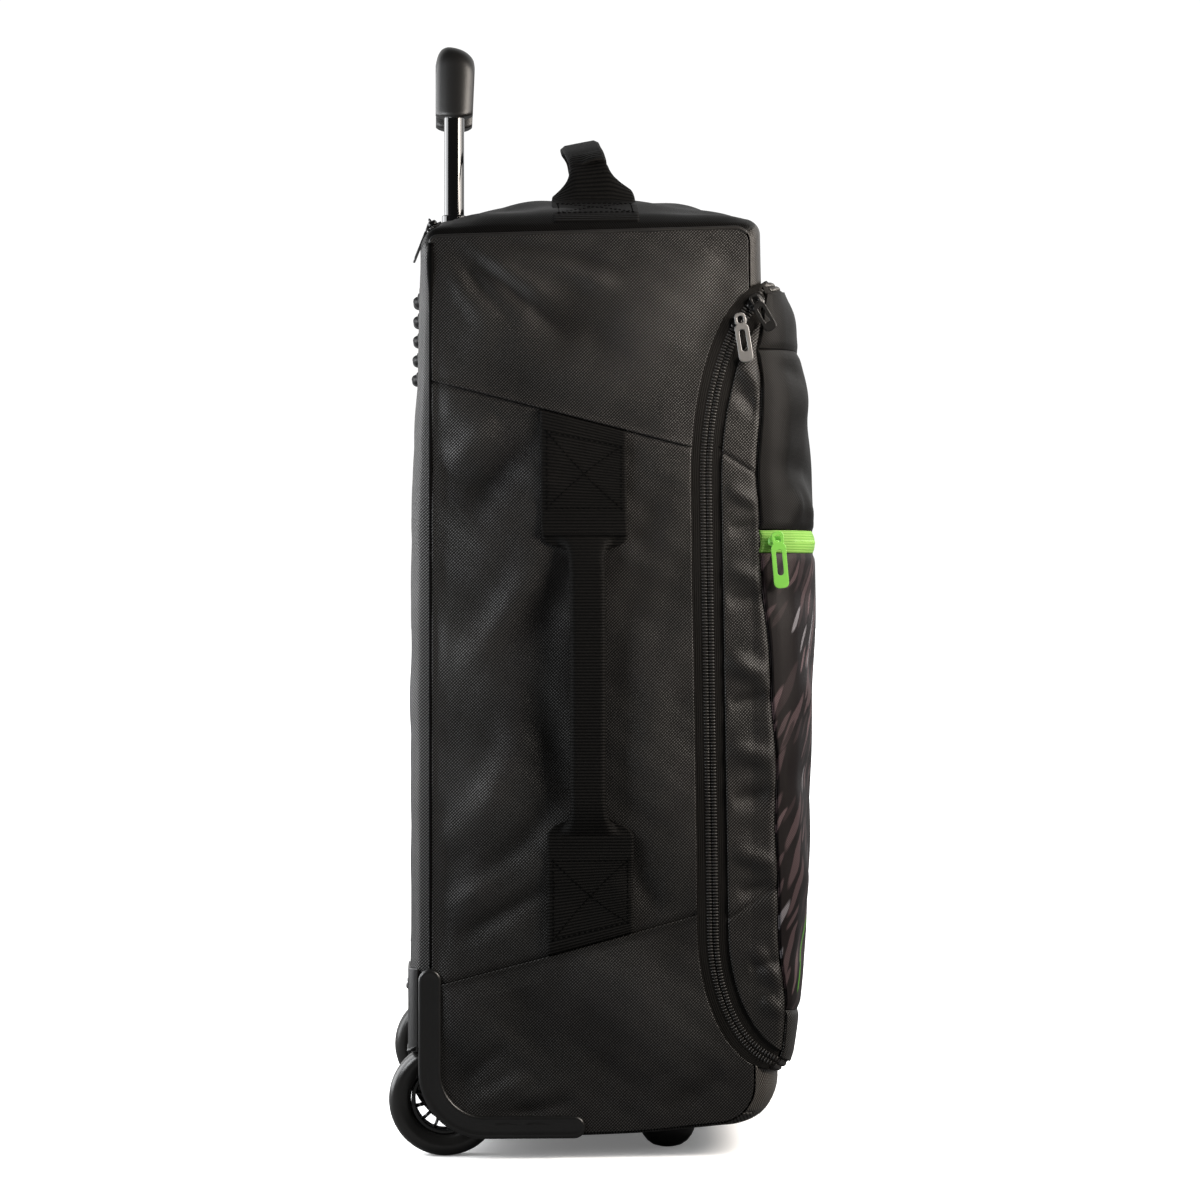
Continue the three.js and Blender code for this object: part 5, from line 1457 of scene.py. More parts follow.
def strap_rings(table, seat, count):
    """Rings of a strap from a table of (at, stand, turn, middle), set down by a seat function."""
    table = np.asarray(table, float)
    run = resample(table[:, :1], count)[:, 0]
    rings, uv = [], []
    for at in run:
        stand, turn, middle = (float(glide(table[:, 0], table[:, i], at)) for i in (1, 2, 3))
        ring = strap_section(turn, -(stand - 1.4))
        rings.append(seat(at, middle, ring[:, 0], ring[:, 1] + stand))
        spread = np.concatenate([np.linspace(0, 1, len(ring) // 2), np.linspace(1, 0, len(ring) // 2)])
        uv.append(np.stack([spread * STRAP["width"] * MM, np.full(len(ring), at * MM)], axis=1))
    return rings, np.concatenate(uv)


def strap_piece(name, rings, uv):
    count = len(rings[0])
    points = np.concatenate(rings)
    faces = grid_faces(len(rings), count, round_columns=True)
    for start in (0, len(points) - count):
        last = start + count - 1
        faces += [(start + i, start + i + 1, last - 1 - i, last - i) for i in range(count // 2 - 1)]
    return face_outwards(new_piece(name, points, faces, webbing, uv))


# %% Side handle
# Height, stand of the front layer off the side, fold of the wings, middle line.
SIDE_HANDLE = [
    (146, 1.6, 0, 101), (216, 1.6, 0, 101), (226, 2.6, 0.02, 101), (231, 5, 0.16, 100.5), (238, 8, 0.5, 100),
    (245, 10, 0.92, 99.5), (252, 11, 1, 99), (335, 12.4, 1, 99), (412, 11, 1, 98.5), (420, 10, 0.92, 98),
    (427, 8, 0.5, 98), (433, 5, 0.16, 97.5), (438, 2.6, 0.02, 97), (447, 1.6, 0, 96.5), (522, 1.6, 0, 96),
]
PATCH_SPAN = 66


def seat_on_side(at, middle, across, out):
    """Sets a ring on the near side. The ends of the strap are cut along the slanting seams."""
    bottom, top = SIDE_HANDLE[0][0], SIDE_HANDLE[-1][0]
    forward = middle + across
    low = np.clip((bottom + PATCH_SPAN - at) / PATCH_SPAN, 0, 1)
    high = np.clip((at - top + PATCH_SPAN) / PATCH_SPAN, 0, 1)
    z = at + low * (seam_z("lower", forward) + 1.0 - bottom) + high * (seam_z("upper", forward) - 1.0 - top)
    ground = side_swell(forward, z)
    sewn = np.clip(np.maximum(low, high) * 4, 0, 1)
    ground = lerp(ground, side_relief(-1, forward, z) + 0.4, sewn)
    return place(-(HALF_WIDTH + ground + out), forward, z)


side_strap = strap_piece("side_handle_webbing", *strap_rings(SIDE_HANDLE, seat_on_side, 230))
hand_over(side_strap, "bag", "webbing", "side_handle")
SIDE_PATCHES = {
    "low": [(146, 3.3, 0, 101), (216, 3.3, 0, 101), (227.5, 3.9, 0, 101)],
    "high": [(437, 3.9, 0, 97), (447, 3.3, 0, 96.5), (522, 3.3, 0, 96)],
}
for name, table in SIDE_PATCHES.items():
    patch = strap_piece(f"side_handle_patch_{name}", *strap_rings(table, seat_on_side, 60))
    hand_over(patch, "bag", "webbing")

# %% Top handle
TOP_HANDLE_MIDDLE = 106
# Distance from mid width, stand off the top, fold of the wings, middle line.
TOP_HANDLE_HALF = [
    (0, 45.5, 1, 99), (36, 43.5, 1, 99.5), (70, 39, 1, 100), (85, 35, 1, 101.5), (92, 31, 0.8, 102.5),
    (98, 26, 0.45, 103.5), (103, 20.5, 0.24, 104.5), (108, 14, 0.14, 105.5), (113, 7.5, 0.07, 106),
    (117, 3.2, 0.02, 106), (122, 1.8, 0, 106), (171, 1.8, 0, 106),
]
# The far half swings forward by this much, with the share of it at each distance.
FAR_SWING = 8
FAR_SWING_KEYS = ((0, 0), (60, 1), (86, 1), (122, 0), (171, 0))
near_half = [(-x, *row) for x, *row in TOP_HANDLE_HALF[:0:-1]]
far_half = [
    (x, stand, turn, middle + FAR_SWING * float(np.interp(x, *zip(*FAR_SWING_KEYS))))
    for x, stand, turn, middle in TOP_HANDLE_HALF]
TOP_HANDLE = near_half + far_half
TOP_HANDLE_ROLL = 0.2
# The strap rolls only where it is free of the top: it lies flat past the first distance.
FREE_STRAP = {"ends": 116, "fade": 22}


def top_surface(x, forward):
    s = body_section(np.asarray(x, float))
    start, end = s["front_top"] - CORNER["top_front"], s["back_top"] + s["top_back"]
    return top_edge(s, (forward - start) / (end - start))[1]


def seat_on_top(at, middle, across, out):
    forward = middle + across
    free = np.clip((FREE_STRAP["ends"] - abs(at)) / FREE_STRAP["fade"], 0, 1)
    return place(at, forward, top_surface(at, forward) + out + TOP_HANDLE_ROLL * free * across)


WRAP_LAYER = {"wider": 1.05, "over": 0.9}


def seat_of_wrap(at, middle, across, out):
    """A second layer round the grip, a little wider than the strap, with a wandering end."""
    sway = 1.6 * math.copysign(1, at) * np.sin(across / 5.5 + 0.8) * np.clip((abs(at) - 84) / 10, 0, 1)
    across = across * WRAP_LAYER["wider"]
    forward = middle + across
    stand = top_surface(at, forward) + out + WRAP_LAYER["over"]
    points = place(at, forward, stand + TOP_HANDLE_ROLL * across)
    points[:, 0] += sway * MM
    points[:, 2] += abs(sway) * MM
    return points


top_strap = strap_piece("top_handle_webbing", *strap_rings(TOP_HANDLE, seat_on_top, 220))
hand_over(top_strap, "bag", "webbing", "top_handle")
wrap_table = [row for row in TOP_HANDLE if abs(row[0]) <= 90]
wrap_table = [(-95, 28.5, 0.8, 103)] + wrap_table + [(95, 28.5, 0.8, 103 + 0.75 * FAR_SWING)]
top_wrap = strap_piece("top_handle_wrap", *strap_rings(wrap_table, seat_of_wrap, 150))
hand_over(top_wrap, "bag", "webbing")
print("webbing handles folded")

# %% [markdown]
# ## Stitches
# Every seam that the photograph shows topstitched gets its thread: the slanting
# seams, both edges of the zip tape, the webbing patches with their crossed boxes and
# the seams of the lid. Along the zip tape and the slanting seams the thread is thick and close,
# and its dark line is partly painted shade of the gap at the cloth's edge. Lines are given on the flat
# and lifted onto the cloth.

# %% Stitch lines
STITCH = {"pitch": 3.6, "length": 3.0, "width": 0.95, "height": 0.8}
# Thick thread in nearly touching stitches along the zip tape's edges and the slanting seams: a dark line,
# partly the real stitch row and partly painted shade of the gap at the cloth's edge.
EDGE_THREAD_AND_SHADE = {"pitch": 3.4, "length": 3.1, "width": 1.4, "height": 1.1}
STITCH_LIFT = 0.1


def straight(a, b, step=6.0):
    count = max(3, int(math.hypot(b[0] - a[0], b[1] - a[1]) / step))
    return np.stack([np.linspace(a[0], b[0], count), np.linspace(a[1], b[1], count)], axis=1)


def crossed_box(low, high, left, right):
    """Four sides and two diagonals of a stitched patch."""
    corners = [(left, low), (right, low), (right, high), (left, high)]
    sides = [straight(corners[i], corners[(i + 1) % 4]) for i in range(4)]
    return sides + [straight(corners[0], corners[2]), straight(corners[1], corners[3])]


lines = []
edge_thread_and_shade_lines = []
for name, side in SIDES.items():
    up = (float(side), 0, 0)
    for seam, away, end in (("upper", 2.6, upper_end), ("lower", -2.6, lower_end)):
        flat = straight((-2, seam_z(seam, -2) + away), (end[0] - 3, seam_z(seam, end[0] - 3) + away))
        edge_thread_and_shade_lines.append((on_side(side, *flat.T, STITCH_LIFT, seam), up))
    body_edge = resample(zip_line(0) - [0.5, 0], 160)[2:-10]
    edge_thread_and_shade_lines.append((on_side(side, *body_edge.T, STITCH_LIFT), up))
    lid_edge = resample(zip_line(TAPE_WIDTH) + [0.7, 0], 160)[2:-6]
    edge_thread_and_shade_lines.append((on_gusset(side, *lid_edge.T, STITCH_LIFT), up))
    for (a, b) in GUSSET_SEAMS:
        flat = straight((a[0], a[1] + 3), (b[0], b[1] + 3))
        lines.append((on_gusset(side, *flat.T, STITCH_LIFT), up))
    gusset_edge = np.stack([outer_edge[:, 0] - 3.4, outer_edge[:, 1]], axis=1)[14:-14]
    lines.append((on_gusset(side, *gusset_edge.T, STITCH_LIFT), up))
for seam, away in (("zip_top", 2.6), ("zip_low", -2.6), ("pocket_low", 2.8), ("band", -2.8)):
    path = on_lid(stations(60, HALF_WIDTH - 4), LID_SEAMS[seam] + away, STITCH_LIFT)
    lines.append((path, (0, -1, 0)))
seam_stitches = lay_along("seam_stitches", lines, beads, black_thread, **STITCH)
hand_over(seam_stitches, "bag", "zip_tape")
edge_thread_and_shade = lay_along("zip_edge_stitches", edge_thread_and_shade_lines, beads, black_thread, **EDGE_THREAD_AND_SHADE)
hand_over(edge_thread_and_shade, "bag", "zip_tape")

# %% Stitches on the webbing
# Lower and upper edge and middle line of the stitched boxes on the side handle.
SIDE_BOXES = ((156, 210, 101), (456, 508, 96.5))
# Inner and outer edge of those on the top handle.
TOP_BOX = (126, 160)
BOX_HALF = 26
patch_lines = []
for low, high, middle in SIDE_BOXES:
    for flat in crossed_box(low, high, middle - BOX_HALF, middle + BOX_HALF):
        points = [seat_on_side(z, 0, np.array([f]), np.array([4.3]))[0] for f, z in flat]
        patch_lines.append((np.array(points), (-1, 0, 0)))
for side in SIDES.values():
    for flat in crossed_box(*TOP_BOX, TOP_HANDLE_MIDDLE - BOX_HALF, TOP_HANDLE_MIDDLE + BOX_HALF):
        points = place(side * flat[:, 1], flat[:, 0], top_surface(flat[:, 1], flat[:, 0]) + 2.9)
        patch_lines.append((points, (0, 0, 1)))
patch_stitches = lay_along("webbing_stitches", patch_lines, beads, black_thread, **STITCH)
hand_over(patch_stitches, "bag", "webbing")

# %% [markdown]
# ## Sliders and pulls
# A slider is a small shield-shaped block with a bridge over it, and the pull hangs
# from the bridge. Pulls are flat tabs with a long slot, so each is a ring of quads
# between an outer and an inner outline, with softened edges.

# %% Tabs, shields and bridges


def round_box(width, length, radius, count=6):
    """A rounded rectangle outline, centred, as (u, v) points."""
    loop = []
    for cu, cv, start in ((1, 1, 0), (-1, 1, 90), (-1, -1, 180), (1, -1, 270)):
        for i in range(count + 1):
            angle = math.radians(start + 90 * i / count)
            loop.append((cu * (width / 2 - radius) + radius * math.cos(angle),
                         cv * (length / 2 - radius) + radius * math.sin(angle)))
    return np.array(loop)


def frame_at(origin, u, v):
    """A function that sets flat (u, v, w) millimetres down at a place, along two directions."""
    u, v = unit(np.asarray(u, float)), unit(np.asarray(v, float))
    w = np.cross(u, v)

    def seat(flat):
        return origin + sum(np.outer(flat[:, i], axis) for i, axis in enumerate((u, v, w))) * MM

    return seat


def at_level(loop, w):
    return np.column_stack([loop, np.full(len(loop), w)])


def slotted_tab(name, seat, outer, inner, thick, finish):
    """A flat ring between two outlines of equal count."""
    levels = [at_level(outer, 0), at_level(outer, thick), at_level(inner, thick), at_level(inner, 0)]
    points = np.concatenate([seat(level) for level in levels])
    faces = grid_faces(4, len(outer), round_columns=True, round_rows=True)
    piece = face_outwards(new_piece(name, points, faces, finish))
    return soften_edges(piece, thick * 0.28)


def shield(name, seat, width, length, height, finish):
    """The slider block: wide at the mouth, narrow at the tail, with a domed top."""
    outline = round_box(width, length, width * 0.3)
    narrow = 1 - 0.32 * np.clip(outline[:, 1] / length + 0.5, 0, 1)
    outline = outline * np.stack([narrow, np.ones(len(outline))], axis=1)
    rings = [seat(at_level(outline * scale, w)) for scale, w in (
        (0.94, 0), (1, 0.25 * height), (1, 0.7 * height), (0.9, 0.93 * height), (0.7, height))]
    return solid_stack(name, rings, finish)


def bridge(name, seat, span, rise, radius, finish):
    """A wire arch along v that the pull hangs from."""
    angle = np.linspace(0, math.pi, 15)
    path = seat(np.column_stack([0 * angle, span / 2 * np.cos(angle), rise * np.sin(angle)]))
    sideways = seat(np.array([[1.0, 0, 0]]))[0] - seat(np.array([[0.0, 0, 0]]))[0]
    up = np.tile(unit(sideways), (len(path), 1))
    return solid_stack(name, sweep(path, up, ring_of(radius, 8)), finish)


def join_pieces(name, pieces):
    """Joins pieces into one, with their modifiers applied and their own finishes kept."""
    graph = bpy.context.evaluated_depsgraph_get()
    joined = bmesh.new()
    finishes = []
    for piece in pieces:
        solid = bpy.data.meshes.new_from_object(piece.evaluated_get(graph))
        finish = piece.data.materials[0]
        if finish not in finishes:
            finishes.append(finish)
        start = len(joined.faces)
        joined.from_mesh(solid)
        joined.faces.ensure_lookup_table()
        for face in joined.faces[start:]:
            face.material_index = finishes.index(finish)
        bpy.data.objects.remove(piece)
    mesh = bpy.data.meshes.new(name)
    joined.to_mesh(mesh)
    joined.free()
    for finish in finishes:
        mesh.materials.append(finish)
    return into_scene(name, mesh)


def side_axes(tilt):
    """Directions along and up a near-side piece, turned by tilt degrees in the side view."""
    a = math.radians(tilt)
    return (0, -math.cos(a), math.sin(a)), (0, math.sin(a), math.cos(a))


# %% Main sliders and their pulls
SLIDERS = [
    {"name": "a", "z": 586, "turn": -32, "pull_turn": 9, "length": 33, "width": 10, "finish": dark_metal,
     "slot": "grey_metal"},
    {"name": "b", "z": 600, "turn": 132, "pull_turn": 30, "length": 27, "width": 9, "finish": black_enamel,
     "slot": "black_plastic"},
]
# Width, length and height of a slider's block, then span and rise of its bridge.
MAIN_SLIDER = ((10.5, 12.5, 3.6), (9, 6.2))
POCKET_SLIDER = ((9, 11, 3.6), (8, 5.6))
BACK_SLIDER = ((8.5, 11, 3.4), (8, 5.4))
TAB_THICK = 1.7
BRIDGE_WIRE = 0.9
coil_side_line = zip_line(TAPE_WIDTH / 2)


def pull_tab(name, seat_origin, axes, length, width, finish):
    """An eye over the bridge and a slotted tab below it."""
    u, v = axes
    seat = frame_at(seat_origin, u, v)
    eye_length = width * 0.95
    eye_outer = round_box(width * 0.8, eye_length, width * 0.3) + [0, 1]
    eye_inner = round_box(width * 0.42, eye_length * 0.5, width * 0.18) + [0, 1]
    tab_length = length - eye_length * 0.6
    middle = -tab_length / 2 - eye_length * 0.3 + 1
    tab_outer = round_box(width, tab_length, width * 0.36) + [0, middle]
    tab_inner = round_box(width * 0.42, tab_length * 0.56, width * 0.2) + [0, middle + tab_length * 0.06]
    eye = slotted_tab(name + "_eye", seat, eye_outer, eye_inner, TAB_THICK * 0.9, finish)
    tab = slotted_tab(name + "_tab", seat, tab_outer, tab_inner, TAB_THICK, finish)
    return join_pieces(name, [eye, tab])


def slider_block(name, seat, block_size, arch_size, finish):
    """A shield of the given width, length and height, under a bridge of the given span and rise."""
    block = shield("block", seat, *block_size, finish)
    arch = bridge("arch", seat, *arch_size, BRIDGE_WIRE, finish)
    return join_pieces(name, [block, arch])


for row in SLIDERS:
    forward = float(np.interp(row["z"], coil_side_line[:, 1], coil_side_line[:, 0]))
    x = -(HALF_WIDTH + float(side_swell(forward, row["z"])))
    block_seat = frame_at(place(x - 1.4, forward, row["z"]), *side_axes(row["turn"]))
    slider = slider_block(f"zip_slider_{row['name']}_block", block_seat, *MAIN_SLIDER, black_enamel)
    hand_over(slider, "bag", "black_plastic", f"zip_slider_{row['name']}")
    origin = place(x - 7.4, forward, row["z"] + 1)
    pull = pull_tab(
        f"zip_pull_{row['name']}_tab", origin, side_axes(row["pull_turn"]),
        row["length"], row["width"], row["finish"])
    hand_over(pull, "bag", row["slot"], f"zip_pull_{row['name']}")

# %% Pocket slider and pull
POCKET_PULL = {"forward": 231.5, "z": 433, "length": 38, "width": 10.5}
pocket_x0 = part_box("pocket_slider")[0].x / MM - MIDDLE_X + 1.0
pocket_seat = frame_at(place(pocket_x0 + 1.5, POCKET_PULL["forward"], POCKET_PULL["z"]), *side_axes(90))
pocket_slider = slider_block("pocket_slider_block", pocket_seat, *POCKET_SLIDER, lime_plastic)
hand_over(pocket_slider, "bag", "lime_plastic", "pocket_slider")
pocket_tab = pull_tab(
    "pocket_pull_tab", place(pocket_x0 - 3.4, POCKET_PULL["forward"] + 1, POCKET_PULL["z"] + 1), side_axes(5),
    POCKET_PULL["length"], POCKET_PULL["width"], lime_plastic)
hand_over(pocket_tab, "bag", "lime_plastic", "pocket_pull")
print("sliders and pulls hung")

# %% [markdown]
# ## Handle pocket zip
# A zip runs along the upper back corner, over the pocket that the pull handle folds
# into. Its tape wraps the corner, and the slider's pull leans out over the back.

# %% Handle pocket zip
HANDLE_ZIP = {"turn": 122, "half": 13, "edge_x": 168}
HANDLE_COIL = {"pitch": 1.7, "length": 4.0, "width": 1.4, "height": 1.8, "stagger": 1.1}
zip_x = stations(80, HANDLE_ZIP["edge_x"])
zip_section = body_section(zip_x[:, None])


def corner_point(section, turn, out):
    radius = section["top_back"]
    forward = section["back_top"] + radius
    z = TOP_BACK_Z + section["back_lift"] - radius
    return arc(forward, z, radius + out, turn, turn, 0.0)


turns = np.linspace(HANDLE_ZIP["turn"] - HANDLE_ZIP["half"], HANDLE_ZIP["turn"] + HANDLE_ZIP["half"], 9)
points = place(zip_x[:, None], *corner_point(zip_section, turns[None, :], 1.4))
tape = cloth_panel("handle_zip_tape", points, zip_tape, 1.1)
hand_over(tape, "bag", "zip_tape", "handle_pocket_zip")
line_section = body_section(zip_x)
inner = place(zip_x, *corner_point(line_section, HANDLE_ZIP["turn"], 0.0))
outer = place(zip_x, *corner_point(line_section, HANDLE_ZIP["turn"], 2.2))
up = unit(outer - inner)
handle_coil = lay_along("handle_zip_coil", [(outer, up)], beads, zip_coil, turn=ACROSS, **HANDLE_COIL)
hand_over(handle_coil, "bag", "zip_tape")

# %% Its slider and pull
BACK_PULL = {"x": -148, "width": 9, "length": 29, "top": (-13.8, 654), "tip": (-24.5, 627)}
pull_section = body_section(np.array(float(BACK_PULL["x"])))
slider_at = place(BACK_PULL["x"], *corner_point(pull_section, HANDLE_ZIP["turn"], 2.4))
slider_out = place(BACK_PULL["x"], *corner_point(pull_section, HANDLE_ZIP["turn"], 8)) - slider_at
slider_across = np.cross((1.0, 0, 0), slider_out)
if np.sum(np.cross(slider_across, (-1.0, 0, 0)) * slider_out) < 0:
    slider_across = -slider_across
slider_seat = frame_at(slider_at, slider_across, (-1, 0, 0))
back_slider = slider_block("handle_pocket_slider_block", slider_seat, *BACK_SLIDER, black_enamel)
hand_over(back_slider, "bag", "black_plastic", "handle_pocket_slider")
top_at, tip_at = (place(BACK_PULL["x"], *BACK_PULL[end]) for end in ("top", "tip"))
back_tab = pull_tab(
    "handle_pocket_pull_tab", top_at, ((1, 0, 0), top_at - tip_at),
    BACK_PULL["length"], BACK_PULL["width"], dark_metal)
hand_over(back_tab, "bag", "grey_metal", "handle_pocket_pull")
print("handle pocket zip laid")

# %% [markdown]
# ## Corner guards and wheel wells
# Each lower back corner wears a moulded guard: a thick L-shaped band on the side, a
# skin wrapped round the back and under the base, and a well for the wheel. The band
# is its outline stacked in shrinking steps, which rounds its face. The skin is a
# sheet left open beside the wheel, and the well is open below, so that daylight shows
# through the hub.

# %% Guard band
BAND = {"back": -19, "inner_back": -3, "bottom": 15, "top": 134, "front": 98, "arc_forward": 28, "arc_z": 62}
BAND_X = (174.2, 179.5)


def arc_line(forward, z, radius, start, end, count):
    t = np.linspace(0, 1, count)
    return np.stack(arc(forward, z, radius, start, end, t), axis=1)


def band_outline():
    """The L on the side, from the back edge over the rounded top, down inside and out to the front."""
    back, inner_back, bottom = BAND["back"], BAND["inner_back"], BAND["bottom"]
    end = (inner_back - back) / 2
    top, front = BAND["top"] - end, BAND["front"] - end
    forward, z = BAND["arc_forward"], BAND["arc_z"]
    inner, outer = forward - inner_back, forward - back
    return np.concatenate([
        straight((back, z + 4), (back, top - 1), 8),
        arc_line(back + end, top, end, 180, 0, 17),
        straight((inner_back, top - 4), (inner_back, z + 4), 8),
        arc_line(forward, z, inner, 180, 270, 24),
        straight((forward + 5, z - inner), (front - 3, z - inner), 8),
        arc_line(front, bottom + end, end, 90, -90, 17),
        straight((front - 4, bottom), (forward + 4, bottom), 8),
        arc_line(forward, z, outer, 270, 180, 30),
    ])


def inset(loop, distance):
    """A closed loop drawn in along its own normals."""
    ahead = unit(np.roll(loop, -1, axis=0) - np.roll(loop, 1, axis=0))
    turned = np.stack([ahead[:, 1], -ahead[:, 0]], axis=1)
    return loop + turned * distance


outline = band_outline()
# How far each step is drawn in, and its share of the band's thickness.
BAND_STEPS = [(0, 0.0), (0, 0.62), (0.35, 0.8), (1.0, 0.93), (1.9, 1.0), (3.2, 1.0), (3.9, 0.96), (6.2, 0.96)]
for name, side in SIDES.items():
    rings = []
    for draw, share in BAND_STEPS:
        loop = inset(outline, draw)
        rings.append(place(side * lerp(*BAND_X, share), *loop.T))
    band = solid_stack(f"guard_band_{name}", rings, satin_plastic)
    hand_over(band, "bag", "black_plastic", f"wheel_guard_{name}")
print("guard bands moulded")

# %% Guard skin and wheel well
# Distance from mid width, forward of the skin's back and height of its underside.
GUARD_SKIN = np.array([[122, -26.5, 16], [164, -26.5, 16], [171, -24, 15.5], [175.2, -19.5, 15]])
GUARD_RADIUS = 47
GUARD_FRONT = 90
# Thickness of the skin, the round of its edges and the thickness of the well.
GUARD_WALL = {"skin": 2.4, "round": 0.7, "well": 1.6}
WELL = {"radius": 44.5, "inner_x": 136.5, "outer_x": 174.4}
SKIN_X = np.array([122, 123, 129, WELL["inner_x"], 151, 165.5, 168, 171, 173.5, 175.2])
slot_z = AXLE_Z + math.sqrt(WELL["radius"] ** 2 - GUARD_SKIN[0, 1] ** 2)
slot_forward = math.sqrt(WELL["radius"] ** 2 - (AXLE_Z - GUARD_SKIN[0, 2]) ** 2)
SKIN_STRETCHES = [
    ("back", BAND["top"], slot_z, 9), ("back", slot_z, None, 5), ("corner", 180, 270, 15),
    ("under", None, slot_forward, 5), ("under", slot_forward, GUARD_FRONT, 8),
]


def skin_rows(x):
    """Forward and z of the skin, down the back, round the corner and along under the base."""
    back, bottom = (glide(GUARD_SKIN[:, 0], GUARD_SKIN[:, i], x) for i in (1, 2))
    rows = []
    for kind, start, end, count in SKIN_STRETCHES:
        t = np.linspace(0, 1, count)[:, None]
        if kind == "back":
            z = lerp(start, bottom + GUARD_RADIUS if end is None else end, t)
            forward = back + 0 * z
        elif kind == "corner":
            forward, z = arc(back + GUARD_RADIUS, bottom + GUARD_RADIUS, GUARD_RADIUS, start, end, t)
        else:
            forward = lerp(back + GUARD_RADIUS if start is None else start, end, t)
            z = bottom + 0 * forward
        rows.append(np.stack(np.broadcast_arrays(forward, z), axis=-1))
    return np.concatenate([rows[0]] + [row[1:] for row in rows[1:]])


skin = skin_rows(SKIN_X[None, :])
slot_start = SKIN_STRETCHES[0][3] - 1
slot_end = len(skin) - SKIN_STRETCHES[-1][3]
slot_columns = range(list(SKIN_X).index(WELL["inner_x"]), len(SKIN_X))
columns = len(SKIN_X)
kept = [
    face for i, face in enumerate(grid_faces(len(skin), columns))
    if not (slot_start <= i // (columns - 1) < slot_end and i % (columns - 1) in slot_columns)]
well_turns = np.linspace(
    math.degrees(math.atan2(slot_z - AXLE_Z, GUARD_SKIN[0, 1])),
    math.degrees(math.atan2(GUARD_SKIN[0, 2] - AXLE_Z, slot_forward)), 40)
well_arc = np.stack(arc(0, AXLE_Z, WELL["radius"], well_turns, well_turns, 0.0), axis=1)
body = body_section(np.array(float(WELL["inner_x"])))
corner_turns = np.linspace(1, 0, 16)
corner_loop = np.stack(corner_edge("bottom_back", body, corner_turns), axis=1)
inside = (well_arc[:, 0] > float(body["back"])) & (well_arc[:, 1] > float(body["bottom"]))
wall_loop = np.concatenate([well_arc[inside], corner_loop])


def sheet_piece(name, points, faces, finish, wall):
    """A sheet with its wall on the side of the bag's middle."""
    piece = new_piece(name, points, faces, finish)
    middle = Vector(BAG_MIDDLE)
    outward = sum((f.center - middle).dot(f.normal) * f.area for f in piece.data.polygons)
    if outward < 0:
        piece.data.flip_normals()
    return add_wall(piece, wall)


for name, side in SIDES.items():
    points = place(side * SKIN_X[None, :], skin[..., 0], skin[..., 1]).reshape(-1, 3)
    guard = sheet_piece(f"guard_skin_{name}", points, kept, satin_plastic, GUARD_WALL["skin"])
    soften_edges(guard, GUARD_WALL["round"])
    hand_over(guard, "bag", "black_plastic")
    rings = [place(side * x, *well_arc.T) for x in (WELL["inner_x"], WELL["outer_x"])]
    barrel = np.concatenate(rings)
    faces = grid_faces(2, len(well_arc))
    inner_wall = place(side * WELL["inner_x"], *wall_loop.T)
    faces += cap_faces(inner_wall, len(barrel), False)
    well = new_piece(f"wheel_well_{name}", np.concatenate([barrel, inner_wall]), faces, satin_plastic)
    hand_over(add_wall(well, GUARD_WALL["well"], 0), "bag", "black_plastic")
print(f"wheel slots from z {slot_z:.0f} to forward {slot_forward:.0f}")

# %% [markdown]
# ## Wheels
# The tyre is a rounded profile turned about the axle. The hub is a rim, a boss and
# slim spokes between them; the spokes come from the same repeat tree as the
# stitches, set out round a circle.

# %% Turned shapes
TURN_STEPS = 72


def turned_ring(name, x, profile, finish):
    """A closed profile of (radius, side) points turned about the axle."""
    angle = np.linspace(0, 2 * math.pi, TURN_STEPS, endpoint=False)[:, None]
    radius, side = np.asarray(profile, float).T
    points = place(x + side, radius * np.cos(angle), AXLE_Z + radius * np.sin(angle))
    faces = grid_faces(TURN_STEPS, len(profile), round_columns=True, round_rows=True)
    return face_outwards(new_piece(name, points.reshape(-1, 3), faces, finish))


def rounded_profile(corners, radius, steps=4):
    """A closed profile with each corner cut by a small round."""
    corners = np.asarray(corners, float)
    loop = []
    for i, corner in enumerate(corners):
        before, after = corners[i - 1] - corner, corners[(i + 1) % len(corners)] - corner
        cut = min(radius, np.linalg.norm(before) * 0.45, np.linalg.norm(after) * 0.45)
        a, b = corner + unit(before) * cut, corner + unit(after) * cut
        for t in np.linspace(0, 1, steps):
            loop.append(lerp(lerp(a, corner, t), lerp(corner, b, t), t))
    return loop


# %% Wheels
TYRE = [(24.4, -9.3), (33, -11.8), (37.5, -10), (40, -5), (40, 5), (37.5, 10), (33, 11.8), (24.4, 9.3)]
HUB_RIM = [(21.2, -8.4), (24.1, -8.4), (24.1, 8.4), (21.2, 8.4)]
HUB_DISC = [(8.2, -4.5), (14.5, -4.5), (14.5, 4.5), (8.2, 4.5)]
HUB_BOSS = [(4.5, -12), (8.5, -12), (8.5, 12), (4.5, 12)]
TYRE_ROUND, HUB_ROUND = 3, 0.8
SPOKES = {"count": 12, "radius": 17.9}
SPOKE = {"length": 8, "width": 2.2, "height": 13}
